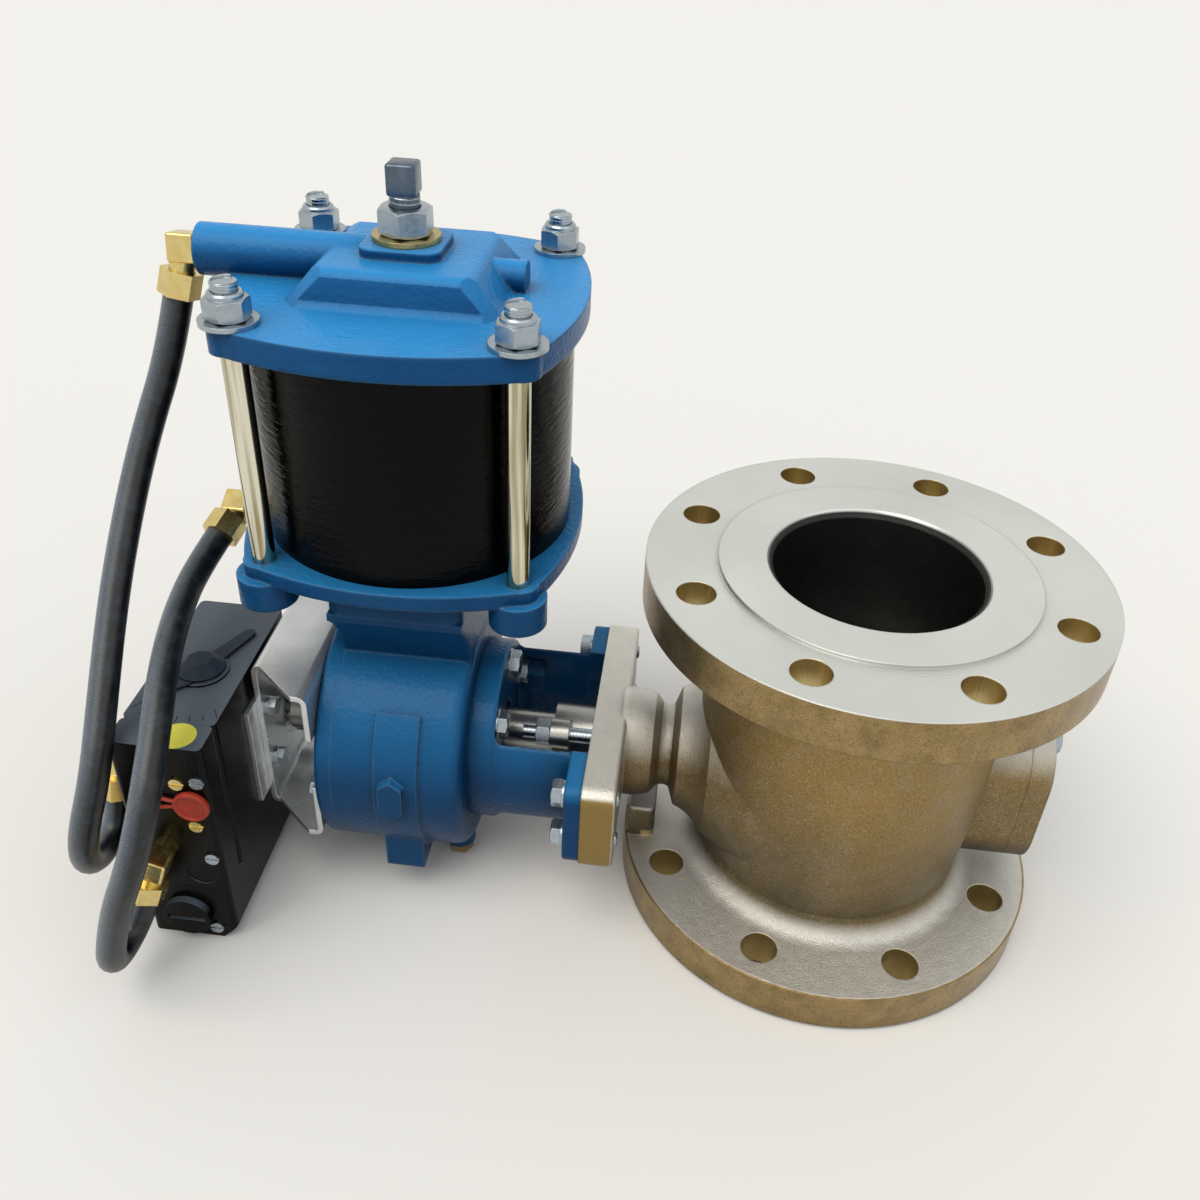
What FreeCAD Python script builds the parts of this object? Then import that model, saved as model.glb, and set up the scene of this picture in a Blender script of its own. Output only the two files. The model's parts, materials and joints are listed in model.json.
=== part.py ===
"""Flanged segment ball control valve with a double acting cylinder actuator, a yoke and a
pneumatic positioner. Lengths are millimetres. The origin is the centre of the lower flange
face, +Z runs up the pipe bore, X runs along the valve shaft, -Y is the front."""
import FreeCAD, Part
import math
import os

import Sketcher
from FreeCAD import Placement, Rotation, Vector

os.makedirs("parts", exist_ok=True)
doc = FreeCAD.newDocument("control_valve")
sheet = doc.addObject("Spreadsheet::Sheet", "sizes")


# Named sizes

class Size:
    """A number that remembers which cells of the sheet it comes from."""

    def __init__(self, value, text):
        self.value = value
        self.text = text

    def __add__(self, other):
        return Size(self.value + number(other), f"({self.text} + {words(other)})")

    def __radd__(self, other):
        return Size(number(other) + self.value, f"({words(other)} + {self.text})")

    def __sub__(self, other):
        return Size(self.value - number(other), f"({self.text} - {words(other)})")

    def __rsub__(self, other):
        return Size(number(other) - self.value, f"({words(other)} - {self.text})")

    def __mul__(self, other):
        return Size(self.value * number(other), f"({self.text} * {words(other)})")

    def __rmul__(self, other):
        return Size(number(other) * self.value, f"({words(other)} * {self.text})")

    def __truediv__(self, other):
        return Size(self.value / number(other), f"({self.text} / {words(other)})")

    def __neg__(self):
        return Size(-self.value, f"(0 - {self.text})")


def number(item):
    return item.value if isinstance(item, Size) else float(item)


def words(item):
    return item.text if isinstance(item, Size) else repr(float(item))


def cosine(angle):
    return Size(math.cos(math.radians(number(angle))), f"cos({words(angle)} * 1 deg)")


def sine(angle):
    return Size(math.sin(math.radians(number(angle))), f"sin({words(angle)} * 1 deg)")


class Sizes:
    """All named sizes, each held in one cell of the sheet."""

    def __init__(self):
        self.row = 0

    def add(self, **values):
        for alias, value in values.items():
            self.row += 1
            sheet.set(f"A{self.row}", alias)
            sheet.set(f"B{self.row}", str(value))
            sheet.setAlias(f"B{self.row}", alias)
            setattr(self, alias, Size(float(value), f"sizes.{alias}"))


S = Sizes()

# Clearances
S.add(running_fit=0.05, press_fit=0.02, seat_gap=0.3, thread_gap=0.1)

# Valve body and its flanges
S.add(body_height=210, shaft_height=80, flange_diameter=228.6, flange_thick=22.7,
      raised_diameter=157.2, raised_height=1.6, bolt_circle=190.5, flange_hole=19.1,
      bore_diameter=103, bore_mouth=110, mouth_depth=3.5, barrel_end_radius=73,
      barrel_fillet=12, barrel_arc=470, cavity_radius=64)

# Neck toward the yoke, and the boss at the blind end
S.add(neck_radius=30, groove_radius=23.5, neck_flange_left=-134.5, neck_flange_thick=17.5,
      neck_flange_half_width=75, neck_flange_half_tall=27, neck_flange_corner=8,
      neck_flange_ease=2, boss_end=94, boss_half_width=27.5, boss_straight=17.5,
      body_lug_place=-105, body_lug_half_wide=8, body_lug_half_long=18,
      body_lug_top=45, body_lug_corner=4)

# Shafts, ball and seat
S.add(shaft_diameter=22, drive_shaft_inner=-37, drive_shaft_outer=-291, trunnion_outer=91,
      ball_radius=60, ball_wall=7, segment_front_angle=56, segment_back_angle=80,
      notch_start=-13.5, notch_half_width=38, ear_inner=42, ear_outer=54, ear_half_width=21,
      hub_radius=18, hub_outer=57, hub_inner=38, taper_pin_radius=3, pin_place=48,
      bushing_outer=29, bushing_length=24, bushing_place=92, seat_inner=84, seat_bottom=119,
      seat_tall=8, spring_tall=2, retainer_tall=8, spanner_slot=8)

# Packing and gland
S.add(packing_outer=34, packing_depth=37.5, packing_ring=6.5, follower_left=-157,
      follower_thick=10, follower_ear=8, stud_circle=26.2, stud_angle=139.6, stud_diameter=8,
      stud_left=-172, stud_deep=14, gland_nut_flats=13, gland_nut_thick=8)

# End cap
S.add(cap_thick=12, cap_bolt_place=32, cap_bolt_diameter=9.5, cap_bolt_flats=14.3,
      cap_head_thick=6.5, cap_bolt_depth=22)

# Yoke
S.add(yoke_left=-198, yoke_ring_thick=13, yoke_radius=50, yoke_tube_radius=49,
      yoke_tube_inner=43, yoke_ring_hole=16, yoke_right_thick=9, yoke_right_half_width=74,
      yoke_right_half_tall=26, yoke_corner=8, yoke_ease=1.5,
      window_left=-184.5, window_half_width=42.3,
      window_corner=4, yoke_bolt_circle=40, yoke_bolt_turn=76, yoke_bolt_flats=12.7,
      yoke_bolt_diameter=7.9, yoke_head_thick=6.5, yoke_bolt_depth=20, head_pocket=7.7)

# Bolts between the yoke and the valve body
S.add(joint_bolt_y=62, joint_bolt_z=14.5, joint_bolt_diameter=7.9, joint_bolt_flats=12.7,
      joint_head_thick=5.5, joint_washer_diameter=14.5, joint_washer_thick=1.6,
      joint_bolt_tail=1.5)

# Actuator housing
S.add(drum_radius=67, drum_left=-266, drum_round=7, cover_left=-275, cover_spigot=24.5,
      cover_spigot_depth=9, chamber_radius=25, chamber_right=-214, neck_front=-23.5,
      neck_knee=143.7, seam_front=-44, seam_height=180, neck_flare=60, pad_left=-243,
      pad_right=-220, pad_rise=1.8, hex_boss_left=-240, hex_boss_right=-227, hex_boss_top=97,
      hex_boss_bottom=71, hex_boss_front=-72, low_boss_front=-58, low_boss_bottom=22,
      gear_bushing_outer=30, gear_bushing_length=13, cover_screw_circle=58,
      cover_screw_diameter=6, cover_screw_head=10, cover_screw_turn=0, drain_face=12.8,
      drain_head_tall=6)

# Rack and pinion
S.add(gear_module=2, gear_teeth=16, rack_addendum=1.7, tooth_gap_depth=2.2,
      gear_backlash=0.18, gap_root_angle=5.1, gap_tip_angle=9.65, flank_arc=5.5, gear_turn=11.25,
      pinion_length=27, pinion_right=-219, pinion_hub_radius=16, pinion_hub_length=10,
      rack_radius=12, rack_bottom=42, rack_flat_top=98, piston_stud=9)

# Cylinder
S.add(cylinder_x=-232.5, cylinder_y=19, tube_outer=153.2, tube_inner=145, lower_plate=201,
      tube_bottom=209, tube_top=314, upper_plate_top=326, head_corner=71, head_bulge=12,
      head_corner_round=9, tie_x=61, tie_y=62, tie_rod_diameter=11.1, tie_rod_bottom=190,
      tie_rod_top=344, tie_nut_flats=17.5, tie_nut_tall=12, tie_washer_diameter=25.5,
      tie_washer_thick=2.2, spigot_tall=6, piston_rest=218, piston_tall=34,
      seal_width=4, seal_depth=3.5, corner_boss=14, corner_boss_bottom=187,
      rod_seal_tall=12, rod_seal_outer=36, air_hole=8, head_screw_x=24,
      head_screw_y=38, head_screw_diameter=10, head_screw_head=16, head_screw_deep=16)

# Upper head details
S.add(dome_half_x=48, dome_half_y=42, dome_top_half=35, dome_top=342, dome_foot=5,
      dome_pad_half=18.5, dome_pad_corner=7, dome_ease=4, dome_shift=1, pad_ease=1,
      dome_low_corner=60, dome_high_corner=45.5,
      dome_pad_top=346.5, port_end=-331,
      port_y=24, port_z=333, port_radius=12, nub_radius=6, low_port_end=-322,
      low_port_y=19, low_port_z=197.5, low_port_radius=11)

# Travel stop
S.add(stop_diameter=14, stop_bottom=277.3, stop_thread_top=366, stop_square=13.5,
      stop_top=380, stop_nut_flats=22, stop_nut_tall=12, stop_washer_diameter=31,
      stop_washer_thick=2.6)

# Bracket and coupling
S.add(bracket_top=140, bracket_bottom=43, bracket_gauge=3, bracket_bend=5, bracket_left=-311,
      bracket_right=-275, bracket_narrow=41, bracket_wide=62, upper_lip=111, lower_lip=78,
      lip_bolt_low_y=52, lip_bolt_low_z=70, lip_bolt_high_y=35, lip_bolt_high_z=124,
      bracket_bolt_diameter=6, bracket_bolt_flats=10, bracket_head_thick=4,
      leg_bolt_front=-34, leg_bolt_back=8, leg_bolt_high=108, leg_bolt_low=72,
      leg_bolt_lowest=60, leg_hole=16, lip_notch=14,
      coupling_diameter=26, coupling_left=-306, coupling_right=-281)

# Positioner
S.add(positioner_left=-360, positioner_right=-313.5, positioner_front=-102,
      positioner_back=16, positioner_top=135.5, positioner_seam=38, front_seam=-84,
      positioner_round=3, front_bevel=9, block_bottom=54, block_top=116, block_front=-52,
      block_back=14, spindle_diameter=10, spindle_left=-322, dial_x=-336, dial_y=-43.7,
      case_screw_radius=3.6, case_screw_tall=1.6, case_screw_deep=10,
      knob_radius=12.5, knob_tall=6, dial_disc_radius=14, dial_disc_tall=1.2,
      pointer_thick=1.2, pointer_length=39, pointer_tail=23, pointer_heading=67)

# Hoses and their fittings
S.add(hose_diameter=14, hose_bore=8, elbow_radius=6.2, elbow_knee=13.6, elbow_knee_ease=1.5,
      hose_nut_flats=17, hose_nut_length=12, elbow_stub=7)


# Helpers for one solid each

def bind(item, entry, value):
    item.setExpression(entry, words(value))


def move_to(item, x=0, y=0, z=0, axis=None, angle=0):
    """Turn an object first, then set its place from the sheet."""
    if axis is not None:
        item.Placement = Placement(Vector(0, 0, 0), Rotation(Vector(*axis), number(angle)))
    if isinstance(angle, Size):
        bind(item, "Placement.Rotation.Angle", angle)
    bind(item, "Placement.Base.x", x)
    bind(item, "Placement.Base.y", y)
    bind(item, "Placement.Base.z", z)
    return item


TURN = {"X": ((0, 1, 0), 90), "Y": ((1, 0, 0), -90), "Z": ((0, 0, 1), 0)}


def rod(name, radius, length, axis, x=0, y=0, z=0):
    """A cylinder that starts at the point and runs along +X, +Y or +Z."""
    item = doc.addObject("Part::Cylinder", name)
    bind(item, "Radius", radius)
    bind(item, "Height", length)
    return move_to(item, x, y, z, *TURN[axis])


def cone(name, radius_low, radius_high, length, axis, x=0, y=0, z=0):
    item = doc.addObject("Part::Cone", name)
    bind(item, "Radius1", radius_low)
    bind(item, "Radius2", radius_high)
    bind(item, "Height", length)
    return move_to(item, x, y, z, *TURN[axis])


def ball(name, radius, x=0, y=0, z=0):
    item = doc.addObject("Part::Sphere", name)
    bind(item, "Radius", radius)
    return move_to(item, x, y, z)


def block(name, x_pair, y_pair, z_pair):
    """A box between two values on each axis."""
    item = doc.addObject("Part::Box", name)
    for entry, pair in (("Length", x_pair), ("Width", y_pair), ("Height", z_pair)):
        bind(item, entry, pair[1] - pair[0])
    return move_to(item, x_pair[0], y_pair[0], z_pair[0])


def hexagon(name, flats, length, axis, x=0, y=0, z=0):
    """A hexagonal prism, given by its width across flats."""
    item = doc.addObject("Part::Prism", name)
    item.Polygon = 6
    bind(item, "Circumradius", flats / math.sqrt(3))
    bind(item, "Height", length)
    return move_to(item, x, y, z, *TURN[axis])


def many(name, kind, items):
    item = doc.addObject(kind, name)
    if kind == "Part::Compound":
        item.Links = items
    else:
        item.Shapes = items
    return item


def join(name, *items):
    result = many(name, "Part::MultiFuse", list(items))
    result.Refine = True
    return result


def group(name, items):
    return many(name, "Part::Compound", list(items))


def shared(name, *items):
    return many(name, "Part::MultiCommon", list(items))


def cut(name, base, *tools):
    item = doc.addObject("Part::Cut", name)
    item.Base = base
    item.Tool = tools[0] if len(tools) == 1 else join(name + "_tools", *tools)
    item.Refine = True
    return item


# Helpers for sketched solids

def start_of(sketch, index, point):
    """Which end of the edge is the given point: every arc is stored anticlockwise."""
    place = Vector(number(point[0]), number(point[1]), 0)
    return 1 if (sketch.Geometry[index].StartPoint - place).Length < 1e-6 else 2


def outline(sketch, points):
    """A closed outline whose corners and arc radii all come from the sheet. A third value at
    a corner is the radius of the arc that leaves it: above zero it curves to the left."""
    edges = []
    for index, point in enumerate(points):
        following = points[(index + 1) % len(points)]
        first = Vector(number(point[0]), number(point[1]), 0)
        last = Vector(number(following[0]), number(following[1]), 0)
        if len(point) == 2:
            edges.append(Part.LineSegment(first, last))
            continue
        radius = number(point[2])
        chord = last - first
        rise = abs(radius) - math.sqrt(max(radius * radius - chord.Length ** 2 / 4, 0))
        side = Vector(-chord.y, chord.x, 0).normalize() * math.copysign(rise, radius)
        ends = (first, last) if radius < 0 else (last, first)
        edges.append(Part.Arc(ends[0], (first + last) * 0.5 + side, ends[1]))
    sketch.addGeometry(edges)
    rules = []
    links = []
    for index, point in enumerate(points):
        following = (index + 1) % len(points)
        near = start_of(sketch, index, point)
        rules.append(Sketcher.Constraint("Coincident", index, 3 - near, following,
                                         start_of(sketch, following, points[following])))
        links.append(None)
        for rule, value, line in (("DistanceX", point[0], -2), ("DistanceY", point[1], -1)):
            if number(value) == 0:
                rules.append(Sketcher.Constraint("PointOnObject", index, near, line))
                links.append(None)
            else:
                rules.append(Sketcher.Constraint(rule, -1, 1, index, near, number(value)))
                links.append((f"{rule[-1].lower()}_{index}", words(value)))
        if len(point) == 3:
            radius = point[2] if number(point[2]) > 0 else -point[2]
            rules.append(Sketcher.Constraint("Radius", index, number(radius)))
            links.append((f"arc_{index}", words(radius)))
    sketch.addConstraint(rules)
    for index, link in enumerate(links):
        if link:
            sketch.renameConstraint(index, link[0])
            sketch.setExpression("Constraints." + link[0], link[1])


def sketch_on(body, name, role):
    sketch = body.newObject("Sketcher::SketchObject", name)
    plane = [item for item in body.Origin.OriginFeatures if item.Role == role][0]
    sketch.AttachmentSupport = [(plane, "")]
    sketch.MapMode = "FlatFace"
    return sketch


def turned(name, axis, points, x=0, y=0, z=0):
    """Revolve an outline: (radius, height) pairs about Z, or (x, radius) pairs about X."""
    body = doc.addObject("PartDesign::Body", name)
    sketch = sketch_on(body, name + "_outline", "XZ_Plane" if axis == "Z" else "XY_Plane")
    outline(sketch, points)
    feature = body.newObject("PartDesign::Revolution", name + "_turning")
    feature.Profile = sketch
    feature.ReferenceAxis = (sketch, ["V_Axis" if axis == "Z" else "H_Axis"])
    feature.Angle = 360
    sketch.Visibility = False
    return move_to(body, x, y, z)


PLANES = {"X": "YZ_Plane", "Y": "XZ_Plane", "Z": "XY_Plane"}
PAD_DIRECTION = {"X": Vector(1, 0, 0), "Y": Vector(0, -1, 0), "Z": Vector(0, 0, 1)}
PAD_HEADING = {}


def raised(name, axis, points, length, x=0, y=0, z=0, turn=None, both=False):
    """Pad an outline along +X, -Y or +Z. The outline is (y, z), (x, z) or (x, y) pairs."""
    body = doc.addObject("PartDesign::Body", name)
    sketch = sketch_on(body, name + "_outline", PLANES[axis])
    outline(sketch, points)
    feature = body.newObject("PartDesign::Pad", name + "_pad")
    feature.Profile = sketch
    bind(feature, "Length", length)
    feature.Midplane = both
    sketch.Visibility = False
    PAD_HEADING[body.Name] = PAD_DIRECTION[axis]
    return move_to(body, x, y, z, *(turn or (None, 0)))


def eased(body, radius, *ends):
    """Round the edges at the first end (0) or last end (1) of a pad or loft. The edges are
    found afresh at every size."""
    doc.recompute()
    tip = body.Tip
    heading = PAD_HEADING.get(body.Name, Vector(0, 0, 1))
    heights = [vertex.Point.dot(heading) for vertex in tip.Shape.Vertexes]
    levels = [(min(heights), max(heights))[end] for end in ends]
    chosen = []
    for index, edge in enumerate(tip.Shape.Edges):
        places = [vertex.Point.dot(heading) for vertex in edge.Vertexes]
        for level in levels:
            if max(abs(place - level) for place in places) < 1e-5:
                chosen.append(f"Edge{index + 1}")
    if not chosen:
        raise RuntimeError(f"{body.Name} has no edge to round")
    feature = body.newObject("PartDesign::Fillet", body.Name + "_easing")
    feature.Base = (tip, chosen)
    bind(feature, "Radius", radius)
    return body


def round_box(half_width, half_tall, radius):
    """Corner points of a rounded rectangle about the middle."""
    a = half_width
    b = half_tall
    return [(a, -b + radius), (a, b - radius, -radius), (a - radius, b),
            (-a + radius, b, -radius), (-a, b - radius), (-a, -b + radius, -radius),
            (-a + radius, -b), (a - radius, -b, -radius)]


def around(count, turn, radius):
    """Points on a circle, as pairs of offsets."""
    result = []
    for index in range(count):
        angle = turn + index * 360 / count
        result.append((radius * cosine(angle), radius * sine(angle)))
    return result


axis_z = S.shaft_height
shaft_radius = S.shaft_diameter / 2
nodes = {}

# Valve body: one casting with two pipe flanges, a neck with the packing box and a boss
flange_radius = S.flange_diameter / 2
low_face = S.raised_height + S.flange_thick
high_face = S.body_height - low_face
fillet_radius = S.barrel_end_radius + S.barrel_fillet
body_shell = turned("body_shell", "Z", [
    (0, 0), (S.raised_diameter / 2, 0), (S.raised_diameter / 2, S.raised_height),
    (flange_radius, S.raised_height), (flange_radius, low_face),
    (fillet_radius, low_face, S.barrel_fillet),
    (S.barrel_end_radius, low_face + S.barrel_fillet, -S.barrel_arc),
    (S.barrel_end_radius, high_face - S.barrel_fillet, S.barrel_fillet),
    (fillet_radius, high_face), (flange_radius, high_face),
    (flange_radius, S.body_height - S.raised_height),
    (S.raised_diameter / 2, S.body_height - S.raised_height),
    (S.raised_diameter / 2, S.body_height), (0, S.body_height)])
body_neck = turned("body_neck", "X", [
    (-120, 0), (-40, 0), (-40, S.neck_radius + 36), (-50, S.neck_radius + 32),
    (-72, S.neck_radius + 16, 30), (-88, S.neck_radius + 3), (-91.5, S.groove_radius, 6),
    (-98, S.groove_radius), (-102, S.neck_radius - 2, -34),
    (-117.5, S.neck_radius), (-120, S.neck_radius)], z=axis_z)
neck_flange = eased(raised("neck_flange", "X",
                           round_box(S.neck_flange_half_width, S.neck_flange_half_tall,
                                     S.neck_flange_corner),
                           S.neck_flange_thick, x=S.neck_flange_left, z=axis_z),
                    S.neck_flange_ease, 1)
body_lug = eased(raised("body_lug", "Z",
                        round_box(S.body_lug_half_wide, S.body_lug_half_long,
                                  S.body_lug_corner),
                        S.body_lug_top - low_face + 1, x=S.body_lug_place, z=low_face - 1),
                 S.neck_flange_ease, 1)
boss_parts = [block("boss_middle", (50, S.boss_end), (-S.boss_half_width, S.boss_half_width),
                    (axis_z - S.boss_straight, axis_z + S.boss_straight))]
for side, offset in (("top", S.boss_straight), ("bottom", -S.boss_straight)):
    boss_parts.append(rod(f"boss_{side}", S.boss_half_width, S.boss_end - 50, "X", x=50,
                          z=axis_z + offset))
body_solid = join("body_solid", body_shell, body_neck, neck_flange, body_lug, *boss_parts)
body_tools = [
    rod("pipe_bore", S.bore_diameter / 2, S.body_height + 2, "Z", z=-1),
    ball("ball_cavity", S.cavity_radius, z=axis_z),
    cone("high_mouth", S.bore_diameter / 2, S.bore_mouth / 2, S.mouth_depth, "Z",
         z=S.body_height - S.mouth_depth),
    rod("packing_box", S.packing_outer / 2 + S.press_fit, S.packing_depth, "X",
        x=S.neck_flange_left, z=axis_z),
    rod("neck_bore", shaft_radius + 0.5, 80, "X", x=-120, z=axis_z),
    rod("drive_bushing_seat", S.bushing_outer / 2 + S.press_fit, 50, "X",
        x=-S.bushing_place, z=axis_z),
    rod("trunnion_seat", S.bushing_outer / 2 + S.press_fit, S.boss_end - 40 + 1, "X", x=40,
        z=axis_z)]
for x, y in around(8, 22.5, S.bolt_circle / 2):
    for low in (-1, high_face - 2):
        body_tools.append(rod(f"flange_hole_{len(body_tools)}", S.flange_hole / 2,
                              S.flange_thick + 5, "Z", x, y, low))
for y_side in (-1, 1):
    for z_side in (-1, 1):
        body_tools.append(rod(f"joint_hole_{len(body_tools)}",
                              S.joint_bolt_diameter / 2 + S.press_fit,
                              S.neck_flange_thick + 2, "X", S.neck_flange_left - 1,
                              S.joint_bolt_y * y_side, axis_z + S.joint_bolt_z * z_side))
stud_y = S.stud_circle * cosine(S.stud_angle)
stud_z = S.stud_circle * sine(S.stud_angle)
for side in (1, -1):
    body_tools.append(rod(f"stud_hole_{side + 1}", S.stud_diameter / 2 + S.press_fit,
                          S.stud_deep, "X", S.neck_flange_left, stud_y * side,
                          axis_z + stud_z * side))
    body_tools.append(rod(f"cap_bolt_hole_{side + 1}",
                          S.cap_bolt_diameter / 2 + S.press_fit, S.cap_bolt_depth + 3, "X",
                          S.boss_end - S.cap_bolt_depth - 1, 0,
                          axis_z + S.cap_bolt_place * side))
nodes["valve_body"] = cut("valve_body", body_solid, *body_tools)

# Ball segment: part of a hollow sphere on two ears, with a V notch in its trailing edge
far = 2 * S.ball_radius
segment_sector = raised("segment_sector", "X", [
    (0, 0), (far * sine(S.segment_back_angle), far * cosine(S.segment_back_angle)),
    (far, far), (-far, far),
    (-far * sine(S.segment_front_angle), far * cosine(S.segment_front_angle))],
    far, z=axis_z, both=True)
segment_shell = cut("segment_shell", ball("segment_outer", S.ball_radius, z=axis_z),
                    ball("segment_inner", S.ball_radius - S.ball_wall, z=axis_z))
segment_cap = shared("segment_cap", segment_shell, segment_sector)
ear_blocks = []
hubs = []
for side, label in ((-1, "drive"), (1, "trunnion")):
    low = S.ear_inner if side > 0 else -S.ear_outer
    high = S.ear_outer if side > 0 else -S.ear_inner
    ear_blocks.append(block(f"{label}_ear_block", (low, high),
                            (-S.ear_half_width, S.ear_half_width),
                            (axis_z, axis_z + S.ball_radius)))
    hub_start = S.hub_inner if side > 0 else -S.hub_outer
    hubs.append(rod(f"{label}_hub", S.hub_radius, S.hub_outer - S.hub_inner, "X",
                    x=hub_start, z=axis_z))
ears = shared("segment_ears", join("ear_pair", *ear_blocks),
              ball("ear_limit", S.ball_radius, z=axis_z))
notch = raised("segment_notch", "Z", [
    (0, S.notch_start), (S.notch_half_width, 22), (-S.notch_half_width, 22)],
    2 * S.ball_radius, z=axis_z, turn=((1, 0, 0), -66))
segment_tools = [rod("segment_shaft_bore", shaft_radius + S.press_fit, 130, "X", x=-65,
                     z=axis_z), notch]
for side in (-1, 1):
    segment_tools.append(rod(f"segment_pin_hole_{side + 1}",
                             S.taper_pin_radius + S.press_fit, 4 * S.hub_radius, "Y",
                             S.pin_place * side, -2 * S.hub_radius, axis_z))
nodes["segment_ball"] = cut("segment_ball", join("segment_solid", segment_cap, ears, *hubs),
                            *segment_tools)

# Shafts: the drive shaft runs through packing, yoke and actuator out to the positioner
shaft_solid = rod("shaft_bar", shaft_radius, S.drive_shaft_inner - S.drive_shaft_outer, "X",
                  x=S.drive_shaft_outer, z=axis_z)
pinion_pin_x = S.pinion_right - S.pinion_length - S.pinion_hub_length / 2
nodes["drive_shaft"] = cut(
    "drive_shaft", shaft_solid,
    rod("drive_pin_hole", S.taper_pin_radius + S.press_fit, 60, "Y", -S.pin_place, -30,
        axis_z),
    rod("gear_pin_hole", S.taper_pin_radius + S.press_fit, 60, "Y", pinion_pin_x, -30,
        axis_z))
nodes["trunnion_shaft"] = cut(
    "trunnion_shaft",
    rod("trunnion_bar", shaft_radius, S.trunnion_outer + S.drive_shaft_inner, "X",
        x=-S.drive_shaft_inner, z=axis_z),
    rod("trunnion_pin_hole", S.taper_pin_radius + S.press_fit, 60, "Y", S.pin_place, -30,
        axis_z))
nodes["segment_pins"] = group("segment_pins", [
    rod("drive_side_pin", S.taper_pin_radius, 2 * S.hub_radius - 2, "Y", -S.pin_place,
        1 - S.hub_radius, axis_z),
    rod("trunnion_side_pin", S.taper_pin_radius, 2 * S.hub_radius - 2, "Y", S.pin_place,
        1 - S.hub_radius, axis_z)])


def ring(name, outer, inner, length, axis, x=0, y=0, z=0):
    """A plain ring: outer and inner are radii."""
    if axis == "Z":
        points = [(inner, 0), (outer, 0), (outer, length), (inner, length)]
    else:
        points = [(0, inner), (length, inner), (length, outer), (0, outer)]
    return turned(name, axis, points, x, y, z)


nodes["shaft_bushings"] = group("shaft_bushings", [
    ring("drive_bushing", S.bushing_outer / 2, shaft_radius + S.running_fit,
         S.bushing_length, "X", x=-S.bushing_place, z=axis_z),
    ring("trunnion_bushing", S.bushing_outer / 2, shaft_radius + S.running_fit,
         S.bushing_length, "X", x=S.bushing_place - S.bushing_length, z=axis_z)])

# Seat: ring pressed on the ball by a wave spring, held by a threaded retainer
port_radius = S.bore_diameter / 2 - S.running_fit
seat_blank = ring("seat_blank", port_radius, S.seat_inner / 2, S.seat_tall, "Z",
                  z=S.seat_bottom)
nodes["seat_ring"] = cut("seat_ring", seat_blank,
                         ball("seat_contact", S.ball_radius + S.seat_gap, z=axis_z))
spring_bottom = S.seat_bottom + S.seat_tall
nodes["seat_spring"] = ring("seat_spring", port_radius - 1, S.seat_inner / 2 + 3,
                            S.spring_tall, "Z", z=spring_bottom)
retainer_bottom = spring_bottom + S.spring_tall
retainer_blank = ring("retainer_blank", port_radius, S.seat_inner / 2, S.retainer_tall, "Z",
                      z=retainer_bottom)
slot_reach = S.seat_inner / 2 + 5
slot_floor = retainer_bottom + S.retainer_tall / 2
half_slot = S.spanner_slot / 2
slot_tools = [
    block("spanner_slot_x", (-slot_reach, slot_reach), (-half_slot, half_slot),
          (slot_floor, slot_floor + S.retainer_tall)),
    block("spanner_slot_y", (-half_slot, half_slot), (-slot_reach, slot_reach),
          (slot_floor, slot_floor + S.retainer_tall))]
nodes["seat_retainer"] = cut("seat_retainer", retainer_blank, *slot_tools)

# Packing and gland, reached through the windows of the yoke
packing_left = S.neck_flange_left + S.packing_depth - 4 * S.packing_ring
nodes["packing_rings"] = group("packing_rings", [
    ring(f"packing_ring_{index}", S.packing_outer / 2, shaft_radius + S.running_fit,
         S.packing_ring, "X", x=packing_left + S.packing_ring * index, z=axis_z)
    for index in range(4)])
follower_sleeve = rod("follower_sleeve", S.packing_outer / 2 - S.running_fit,
                      packing_left - S.follower_left, "X", x=S.follower_left, z=axis_z)
follower_ears = [raised("follower_bar", "X",
                        round_box(S.stud_circle + S.follower_ear, S.follower_ear, 7.5),
                        S.follower_thick, x=S.follower_left, z=axis_z,
                        turn=((1, 0, 0), S.stud_angle))]
follower_tools = [rod("follower_bore", shaft_radius + S.seat_gap, 60, "X",
                      x=S.follower_left - 1, z=axis_z)]
studs = []
gland_nuts = []
for side, label in ((1, "high"), (-1, "low")):
    place = (stud_y * side, axis_z + stud_z * side)
    follower_tools.append(rod(f"follower_hole_{label}", S.stud_diameter / 2 + S.seat_gap,
                              S.follower_thick + 2, "X", S.follower_left - 1, *place))
    studs.append(rod(f"gland_stud_{label}", S.stud_diameter / 2,
                     S.neck_flange_left + S.stud_deep - S.stud_left, "X", S.stud_left, *place))
    nut = hexagon(f"nut_{label}", S.gland_nut_flats, S.gland_nut_thick, "X",
                  S.follower_left - S.gland_nut_thick, *place)
    gland_nuts.append(cut(f"gland_nut_{label}", nut,
                          rod(f"nut_{label}_hole", S.stud_diameter / 2 + S.thread_gap, 20,
                              "X", S.follower_left - S.gland_nut_thick - 5, *place)))
nodes["gland_follower"] = cut("gland_follower",
                              join("follower_solid", follower_sleeve, *follower_ears),
                              *follower_tools)
nodes["gland_studs"] = group("gland_studs", studs)
nodes["gland_nuts"] = group("gland_nuts", gland_nuts)

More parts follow.
